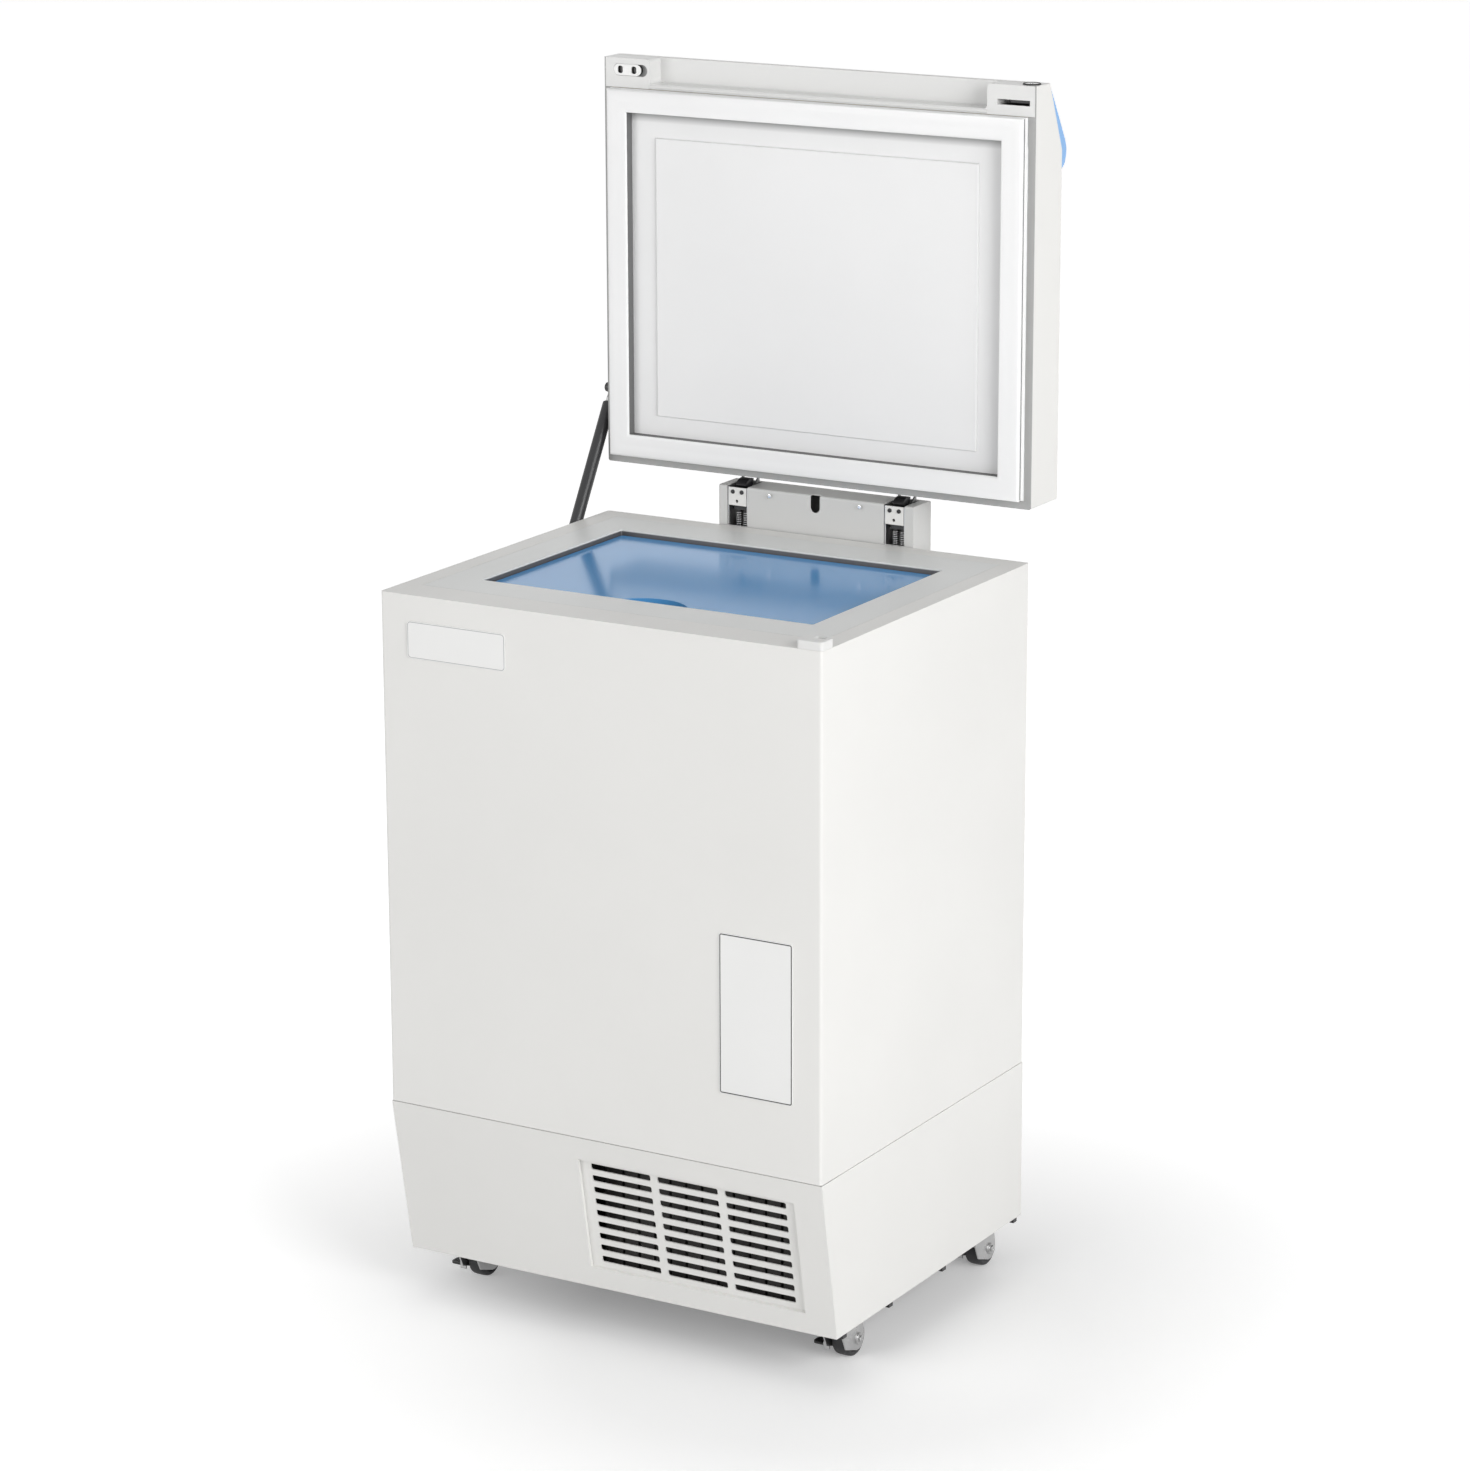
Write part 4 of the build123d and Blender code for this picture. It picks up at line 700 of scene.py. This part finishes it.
for corner in corners:
    low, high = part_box("caster_wheel_" + corner)
    wheel_middle = (Vector(low) + Vector(high)) / 2
    piece = put(wheel, "wheel_" + corner, facing(wheel_middle, (1, 0, 0)), "wheel_" + corner, "wheel_grey")
    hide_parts("caster_wheel_" + corner)
print("wheel points", len(profile))
discard(wheel)

# %% [markdown]
# A brake pedal is pressed with the toe, so its top has three ribs that stop a shoe from slipping.
# Each rib is a thin bar with rounded edges.

# %% Pedal ribs
rib_size = (0.0013, 0.0130, 0.0014)
rib_count = 3
rib_pitch = 0.0035
rib_sink = 0.0014
rib = cube(rib_size)
round_edges(rib, width=0.0005)
for corner in corners:
    low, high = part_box("brake_pedal_" + corner)
    for number in range(1, rib_count + 1):
        place = Vector((low[0] + number * rib_pitch, (low[1] + high[1]) / 2, high[2] - rib_sink))
        put(rib, f"pedal_rib_{corner}_{number}", Matrix.Translation(place), "brake_" + corner,
            "black_plastic")
print("ribs", rib_count * len(corners))
discard(rib)

# %% [markdown]
# ## Counterbalance springs
# Two coil springs in each hinge channel carry the weight of the lid. The wire's section is a small
# circle beside the axis, and a Screw modifier winds it up the rod.

# %% Coil springs
wire = 0.00075
coil_radius = 0.00445
coil_pitch = 0.0031
springs_low, springs_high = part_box("hinge_springs")
coil_foot = 0.0010
coil_headroom = 0.0068
coil_low = springs_low[2] + coil_foot
coil_turns = int((springs_high[2] - coil_headroom - coil_low) / coil_pitch)
coil_steps = 16
spring_side = 0.0055
spring_depth = 0.577
spring_y = front_y + spring_depth
bpy.ops.object.select_all(action="DESELECT")
bpy.ops.mesh.primitive_circle_add(vertices=8, radius=wire, location=(coil_radius, 0, 0),
                                  rotation=(math.pi / 2, 0, 0))
coil = bpy.context.object
bpy.ops.object.transform_apply(location=True, rotation=True, scale=False)
wind = coil.modifiers.new("wind", "SCREW")
wind.axis = "Z"
wind.screw_offset = coil_pitch
wind.iterations = coil_turns
wind.steps = coil_steps
wind.render_steps = coil_steps
wind.use_merge_vertices = False
apply_modifiers(coil)
bpy.ops.object.mode_set(mode="EDIT")
bpy.ops.mesh.select_all(action="SELECT")
bpy.ops.mesh.normals_make_consistent(inside=False)
bpy.ops.object.mode_set(mode="OBJECT")
bpy.ops.object.shade_smooth_by_angle(angle=math.radians(60.0))
put_all(coil, "spring_coil",
        [(mid_x + hinge * hinge_x + side * spring_side, spring_y, coil_low)
         for hinge in (-1, 1) for side in (-1, 1)],
        (0, 0, 1), "cabinet", "steel")
discard(coil)

# %% [markdown]
# ## Hinge knuckles
# A dark knuckle sits over the pin, between the ears of each lid arm. It is a sector of a round bar:
# the bar is cut by two planes through its axis and by one that keeps clear of the pin, and its edges
# are rounded.

# %% Knuckles on the pins
pins_low, pins_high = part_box("hinge_pins")
pin_y = (pins_low[1] + pins_high[1]) / 2
pin_z = (pins_low[2] + pins_high[2]) / 2
knuckle_radius = 0.0198
knuckle_width = 0.0160
sector_back = math.radians(-24)
sector_front = math.radians(52)
pin_room = 0.0062
halfway_turn = (sector_back + sector_front) / 2
outward = Vector((0, -math.sin(halfway_turn), math.cos(halfway_turn)))
cuts = ((Vector((0, 0, 0)), Vector((0, -math.cos(sector_front), -math.sin(sector_front)))),
        (Vector((0, 0, 0)), Vector((0, math.cos(sector_back), math.sin(sector_back)))),
        (outward * pin_room, -outward))

bpy.ops.object.select_all(action="DESELECT")
bpy.ops.mesh.primitive_cylinder_add(vertices=72, radius=knuckle_radius, depth=knuckle_width,
                                    rotation=(0, math.pi / 2, 0))
knuckle = bpy.context.object
bpy.ops.object.transform_apply(location=False, rotation=True, scale=False)
bpy.ops.object.mode_set(mode="EDIT")
for place, normal in cuts:
    bpy.ops.mesh.select_all(action="SELECT")
    bpy.ops.mesh.bisect(plane_co=place, plane_no=normal, use_fill=True, clear_outer=True)
bpy.ops.mesh.select_all(action="SELECT")
bpy.ops.mesh.normals_make_consistent(inside=False)
bpy.ops.object.mode_set(mode="OBJECT")
round_edges(knuckle, width=0.0008, angle=40.0)
for number, hinge in enumerate((-1, 1), 1):
    place = Matrix.Translation((mid_x + hinge * hinge_x, pin_y, pin_z))
    put(knuckle, f"hinge_knuckle_{number}", place, "lid", "dark_metal")
print("knuckle faces", len(knuckle.data.polygons))
discard(knuckle)

# %% [markdown]
# ## The lid's gasket
# The gasket is a soft extruded section, cut at 45 degrees and welded at its four corners. Here a
# rectangle is extruded step by step along the section, from the foot over the neck and the rounded
# cushion to the inner side. Each step is scaled to the section's inset at that height, which gives
# the same straight mitres as the real welded corners.

# %% Gasket as a stepped frame
def stepped_frame(name, width, height, section):
    """Extrude a rectangle along a section of (inset, rise) points and leave its middle open."""
    bpy.ops.object.select_all(action="DESELECT")
    bpy.ops.mesh.primitive_plane_add(size=1.0)
    piece = bpy.context.object
    piece.name = name
    piece.scale = (width, height, 1.0)
    bpy.ops.object.transform_apply(location=False, rotation=False, scale=True)
    bpy.ops.object.mode_set(mode="EDIT")
    bpy.ops.mesh.select_mode(type="FACE")
    bpy.ops.mesh.select_all(action="SELECT")
    for last, step in zip(section, section[1:]):
        bpy.ops.mesh.extrude_region_move(TRANSFORM_OT_translate={"value": (0, 0, step[1] - last[1])})
        shrink = [(size - 2 * step[0]) / (size - 2 * last[0]) for size in (width, height)]
        bpy.ops.transform.resize(value=(shrink[0], shrink[1], 1.0), center_override=(0, 0, 0))
    pick_faces(piece, lambda middle, normal: Vector(middle.xy).length < 0.0001)
    bpy.ops.mesh.delete(type="FACE")
    bpy.ops.mesh.select_all(action="SELECT")
    bpy.ops.mesh.remove_doubles(threshold=weld_distance)
    bpy.ops.mesh.normals_make_consistent(inside=False)
    bpy.ops.object.mode_set(mode="OBJECT")
    pick(piece)
    bpy.ops.object.shade_smooth_by_angle(angle=math.radians(50.0))
    return piece


gasket_low, gasket_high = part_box("gasket")
gasket_section = [(0.0, 0.0), (0.0, 0.0056), (0.0010, 0.0064), (0.0030, 0.0068), (0.0034, 0.0078),
                  (0.0030, 0.0087), (0.0006, 0.0092), (0.0, 0.0104), (0.0, 0.0138), (0.0005, 0.0154),
                  (0.0016, 0.0164), (0.0032, 0.0168), (0.0120, 0.0166), (0.0150, 0.0164), (0.0180, 0.0166),
                  (0.0280, 0.0168), (0.0296, 0.0163), (0.0306, 0.0151), (gasket_width, 0.0135),
                  (gasket_width, 0.0)]
soft_frame = stepped_frame("soft_frame", gasket_high[0] - gasket_low[0], gasket_high[2] - gasket_low[2],
                           gasket_section)
gasket_middle = (Vector(gasket_low) + Vector(gasket_high)) / 2
gasket_middle.y = gasket_high[1]
gasket_piece = put(soft_frame, "gasket_frame", facing(gasket_middle, (0, -1, 0)), "lid", "gasket_white")
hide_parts("gasket")
discard(soft_frame)
print("gasket steps", len(gasket_section))

# %% [markdown]
# The neck of the section, and its inner wall at the sides and the top of the liner, get a painted
# shade in dark grey. Those faces of the finished frame take a second finish.

# %% Painted shade on the neck and the inner wall
neck_from = 0.0066
neck_to = 0.0090
wall_room = 0.0002
bottom_room = 0.001
# Painted shade: a dark grey second finish for the gasket's neck and its inner wall, not the bottom wall.
gasket_shade = finish("gasket_painted_shade", (0.14, 0.14, 0.14), 0.55, grain_scale=1300.0, drift=0.05)
gasket_piece.data.materials.append(gasket_shade)
inner_half = (gasket_high[0] - gasket_low[0]) / 2 - gasket_width
inner_tall = (gasket_high[2] - gasket_low[2]) / 2 - gasket_width
dark_faces = 0
for polygon in gasket_piece.data.polygons:
    away = Vector(polygon.center) - gasket_middle
    in_width = abs(away.x) < inner_half + wall_room
    in_height = -inner_tall + bottom_room < away.z < inner_tall + wall_room
    neck = neck_from < gasket_high[1] - polygon.center.y < neck_to
    if (in_width and in_height) or neck:
        polygon.material_index = 1
        dark_faces += 1
print("dark faces", dark_faces)

# %% [markdown]
# ## The strut's fittings
# A gas spring is a painted tube with a gland where the rod comes out, and an end fitting on each
# end. The gland is a thin ring on the tube's mouth, and a hexagon nut locks the upper fitting. Both
# are spun on the strut's own axis, which runs from the lid's stud to the cabinet's.

# %% Gland and nut on the strut
stud_low, stud_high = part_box("strut_stud")
bracket_low, bracket_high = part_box("strut_bracket")
tube_low, tube_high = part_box("strut_tube")
stud_y = (stud_low[1] + stud_high[1]) / 2
stud_z = (stud_low[2] + stud_high[2]) / 2
foot_y = (bracket_low[1] + bracket_high[1]) / 2
foot_z = (bracket_low[2] + bracket_high[2]) / 2
strut_top = Vector(((tube_low[0] + tube_high[0]) / 2, stud_y, stud_z))
strut_way = Vector((0, foot_y - stud_y, foot_z - stud_z)).normalized()
gland_place = 0.217
nut_place = 0.0185

gland = lathe("gland", [(0.0046, 0.0003), (0.0068, 0.0003), (0.0074, -0.0002), (0.0046, -0.0002),
                        (0.0046, 0.0003)], 40)
put(gland, "strut_gland", facing(strut_top + strut_way * gland_place, strut_way), "strut_upper", "steel")
lock_nut = lathe("lock_nut", [(0.0040, -0.0030), (0.0056, -0.0030), (0.0062, -0.0024), (0.0062, 0.0024),
                              (0.0056, 0.0030), (0.0040, 0.0030), (0.0040, -0.0030)], 6)
put(lock_nut, "strut_upper_nut", facing(strut_top + strut_way * nut_place, strut_way), "strut_upper", "steel")
print("strut axis", tuple(round(value, 3) for value in strut_way))
discard(gland, lock_nut)

# %% [markdown]
# ## The console on the lid
# The console's keypad has six blank keys under one film. A key is a flat box whose top is inset and
# raised twice, so that it reads as a soft dome. They lie in a row on the console's slope.

# %% Keys on the keypad
keypad_low, keypad_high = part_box("keypad")
keypad_middle = (Vector(keypad_low) + Vector(keypad_high)) / 2
console_tilt = math.radians(30.96)
face_out = Vector((0.0, math.cos(console_tilt), math.sin(console_tilt)))
film_half = 0.0005
key_size = (0.0175, 0.0140, 0.0008)
key_pitch = 0.026
key_count = 6

key = cube(key_size)
bpy.ops.object.mode_set(mode="EDIT")
pick_faces(key, lambda centre, normal: normal.z > 0.9)
bpy.ops.mesh.inset(thickness=0.0014, depth=0.0003)
bpy.ops.mesh.inset(thickness=0.0020, depth=0.0001)
bpy.ops.object.mode_set(mode="OBJECT")
round_edges(key, width=0.0012, segments=4, angle=60.0)
first_key = keypad_middle + face_out * film_half - Vector((key_pitch * (key_count - 1) / 2, 0, 0))
put_all(key, "console_key", [first_key + Vector((key_pitch * number, 0, 0)) for number in range(key_count)],
        face_out, "lid", "white_plastic")
discard(key)

# %% [markdown]
# A small lamp stands midway between the keypad and the window, and a thin frame holds the window.
# The lamp's lens is a spun dome, and the frame is stepped like the gasket.

# %% Lamp and window frame
window_low, window_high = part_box("display_window")
window_middle = (Vector(window_low) + Vector(window_high)) / 2
window_height = 0.046
frame_room = 0.0012
face_lift = face_out * 0.0007

lamp_lens = lathe("lens", [(0, 0.0014), (0.0010, 0.0013), (0.0018, 0.0009), (0.0021, 0.0003),
                           (0.0026, 0.0002), (0.0028, -0.0004), (0, -0.0004)], 24)
lamp_place = (keypad_middle + window_middle) / 2 + face_lift
lamp_place.x = (keypad_high[0] + window_low[0]) / 2
put(lamp_lens, "console_lamp", facing(lamp_place, face_out), "lid", "keypad_grey")

bezel_section = [(0.0, -0.0004), (0.0, 0.0003), (0.0004, 0.0006), (0.0016, 0.0006), (0.0024, 0.0),
                 (0.0024, -0.0006)]
bezel = stepped_frame("bezel", window_high[0] - window_low[0] + frame_room, window_height + frame_room,
                      bezel_section)
put(bezel, "window_frame", facing(window_middle + face_lift, face_out), "lid", "display_dark")
print("lamp at", tuple(round(value, 3) for value in lamp_place))
discard(lamp_lens, bezel)

# %% [markdown]
# ## The power inlet's blades
# Three flat metal blades stand in the inlet and enter the plug of a loose lead. Each is a thin box
# with rounded edges, fitted over the moulded post behind it.

# %% Blades in the inlet
inlet_low, inlet_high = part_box("power_inlet")
inlet_middle = (Vector(inlet_low) + Vector(inlet_high)) / 2
blade_size = (0.0024, 0.0130, 0.0054)
blade_recess = 0.0098
blade_y = rear_high[1] - blade_recess
blade_side = 0.007
blade_low = -0.002
blade_high = 0.003
blade = cube(blade_size)
round_edges(blade, width=0.0005)
put_all(blade, "inlet_blade",
        [(inlet_middle.x + x, blade_y, inlet_middle.z + z)
         for x, z in ((-blade_side, blade_low), (0.0, blade_high), (blade_side, blade_low))],
        (0, 0, 1), "cabinet", "bright_steel")
discard(blade)

# %% [markdown]
# ## The floor and the backdrop
# The floor is white and keeps the freezer's shadow. Part of its white is emitted towards the
# camera alone, more of it further out, so that it meets the white backdrop without any more light
# on the freezer. The glow grows with the distance from the middle of the shadow.

# %% Floor
def seen_rays(tree):
    """One for the rays that the camera sees straight, in a mirror or through glass."""
    path = tree.nodes.new("ShaderNodeLightPath")
    straight = combine(tree, "MAXIMUM", path.outputs["Is Camera Ray"], path.outputs["Is Glossy Ray"])
    return combine(tree, "MAXIMUM", straight, path.outputs["Is Transmission Ray"])


floor_size = 60.0
shadow_middle = (0.25, -0.15, 0.0)
fade_start = 0.35
fade_end = 1.3
glow_near = 0.20
glow_far = 0.75
bpy.ops.object.select_all(action="DESELECT")
bpy.ops.mesh.primitive_plane_add(size=floor_size, location=(0, 0, 0))
floor = bpy.context.object
floor.name = "floor"
floor_finish = bpy.data.materials.new("floor_white")
floor_finish.use_nodes = True
tree = floor_finish.node_tree
shader = tree.nodes["Principled BSDF"]
shader.inputs["Base Color"].default_value = (0.86, 0.86, 0.86, 1.0)
shader.inputs["Roughness"].default_value = 0.9
shader.inputs["Specular IOR Level"].default_value = 0.1
shader.inputs["Emission Color"].default_value = (1.0, 1.0, 1.0, 1.0)
coords = tree.nodes.new("ShaderNodeTexCoord")
offset = tree.nodes.new("ShaderNodeVectorMath")
offset.operation = "SUBTRACT"
offset.inputs[1].default_value = shadow_middle
tree.links.new(coords.outputs["Object"], offset.inputs[0])
distance = tree.nodes.new("ShaderNodeVectorMath")
distance.operation = "LENGTH"
tree.links.new(offset.outputs["Vector"], distance.inputs[0])
glow = remap(tree, distance.outputs["Value"], fade_start, fade_end, glow_near, glow_far)
tree.links.new(combine(tree, "MULTIPLY", seen_rays(tree), glow), shader.inputs["Emission Strength"])
floor.data.materials.append(floor_finish)
print("floor", floor_size, "m")

# %% [markdown]
# The backdrop is plain white for the rays that the camera sees, straight or mirrored. The light that
# it gives is a soft sky, brighter at the horizon than overhead, so that the upright faces get most.

# %% Backdrop
horizon_light = 0.60
zenith_light = 0.10
world = bpy.data.worlds.new("studio")
bpy.context.scene.world = world
world.use_nodes = True
tree = world.node_tree
background = tree.nodes["Background"]
background.inputs["Color"].default_value = (1.0, 1.0, 1.0, 1.0)
coords = tree.nodes.new("ShaderNodeTexCoord")
split = tree.nodes.new("ShaderNodeSeparateXYZ")
tree.links.new(coords.outputs["Generated"], split.inputs["Vector"])
light = remap(tree, split.outputs["Z"], 0.0, 1.0, horizon_light, zenith_light)
seen = seen_rays(tree)
unseen = combine(tree, "SUBTRACT", 1.0, seen)
strength = combine(tree, "ADD", combine(tree, "MULTIPLY", light, unseen), seen)
tree.links.new(strength, background.inputs["Strength"])
print("sky light", horizon_light, "to", zenith_light)

# %% [markdown]
# ## The lamps
# Three large soft boxes light the freezer: the strongest high on the right, a weaker one on the left
# and the weakest above. Large lamps give the faint shadow under the cabinet that soft studio light
# has.

# %% Soft boxes
def soft_box(name, place, target, size, power):
    """A square area lamp that faces a target, with its power in watts."""
    data = bpy.data.lights.new(name, "AREA")
    data.shape = "RECTANGLE"
    data.size = size
    data.size_y = size
    data.energy = power
    lamp = bpy.data.objects.new(name, data)
    bpy.context.scene.collection.objects.link(lamp)
    lamp.location = place
    lamp.rotation_euler = (Vector(target) - Vector(place)).to_track_quat("-Z", "Y").to_euler()
    print(name, power, "W")


lit_middle = (0.0, 0.0, 0.7)
soft_box("lamp_right", (4.5, -2.0, 2.4), lit_middle, 3.0, 178.0)
soft_box("lamp_left", (-2.2, -4.5, 2.0), lit_middle, 3.0, 70.0)
soft_box("lamp_above", (0.0, 0.5, 5.0), lit_middle, 3.5, 25.0)

# %% [markdown]
# ## The camera
# The camera stands at the right front, above the rim, with a long lens, so that upright edges
# stay nearly parallel. Its place is in metres, its turns are in radians, and its lens is given as
# the distance of the picture plane in pixels of the full picture.

# %% Camera
camera_place = Vector((3.0962, -5.2267, 2.3973))
camera_yaw = 0.531591689
camera_pitch = -0.263658946
camera_roll = -0.00314404567
lens_pixels = 4736.27
frame_pixels = 1471.0
sensor = 36.0

level = math.cos(camera_pitch)
ahead = Vector((-math.sin(camera_yaw) * level, math.cos(camera_yaw) * level, math.sin(camera_pitch)))
right = Vector((math.cos(camera_yaw), math.sin(camera_yaw), 0.0))
up = right.cross(ahead)
rolled_right = math.cos(camera_roll) * right + math.sin(camera_roll) * up
rolled_up = -math.sin(camera_roll) * right + math.cos(camera_roll) * up
camera_data = bpy.data.cameras.new("camera")
camera_data.sensor_width = sensor
camera_data.sensor_fit = "VERTICAL"
camera_data.sensor_height = sensor
camera_data.lens = lens_pixels / frame_pixels * sensor
camera = bpy.data.objects.new("camera", camera_data)
bpy.context.scene.collection.objects.link(camera)
axes = Matrix((rolled_right, rolled_up, -ahead)).transposed()
camera.matrix_world = Matrix.Translation(camera_place) @ axes.to_4x4()
bpy.context.scene.camera = camera
bpy.context.scene.view_settings.view_transform = "Standard"
print("lens", round(camera_data.lens, 2), "mm")
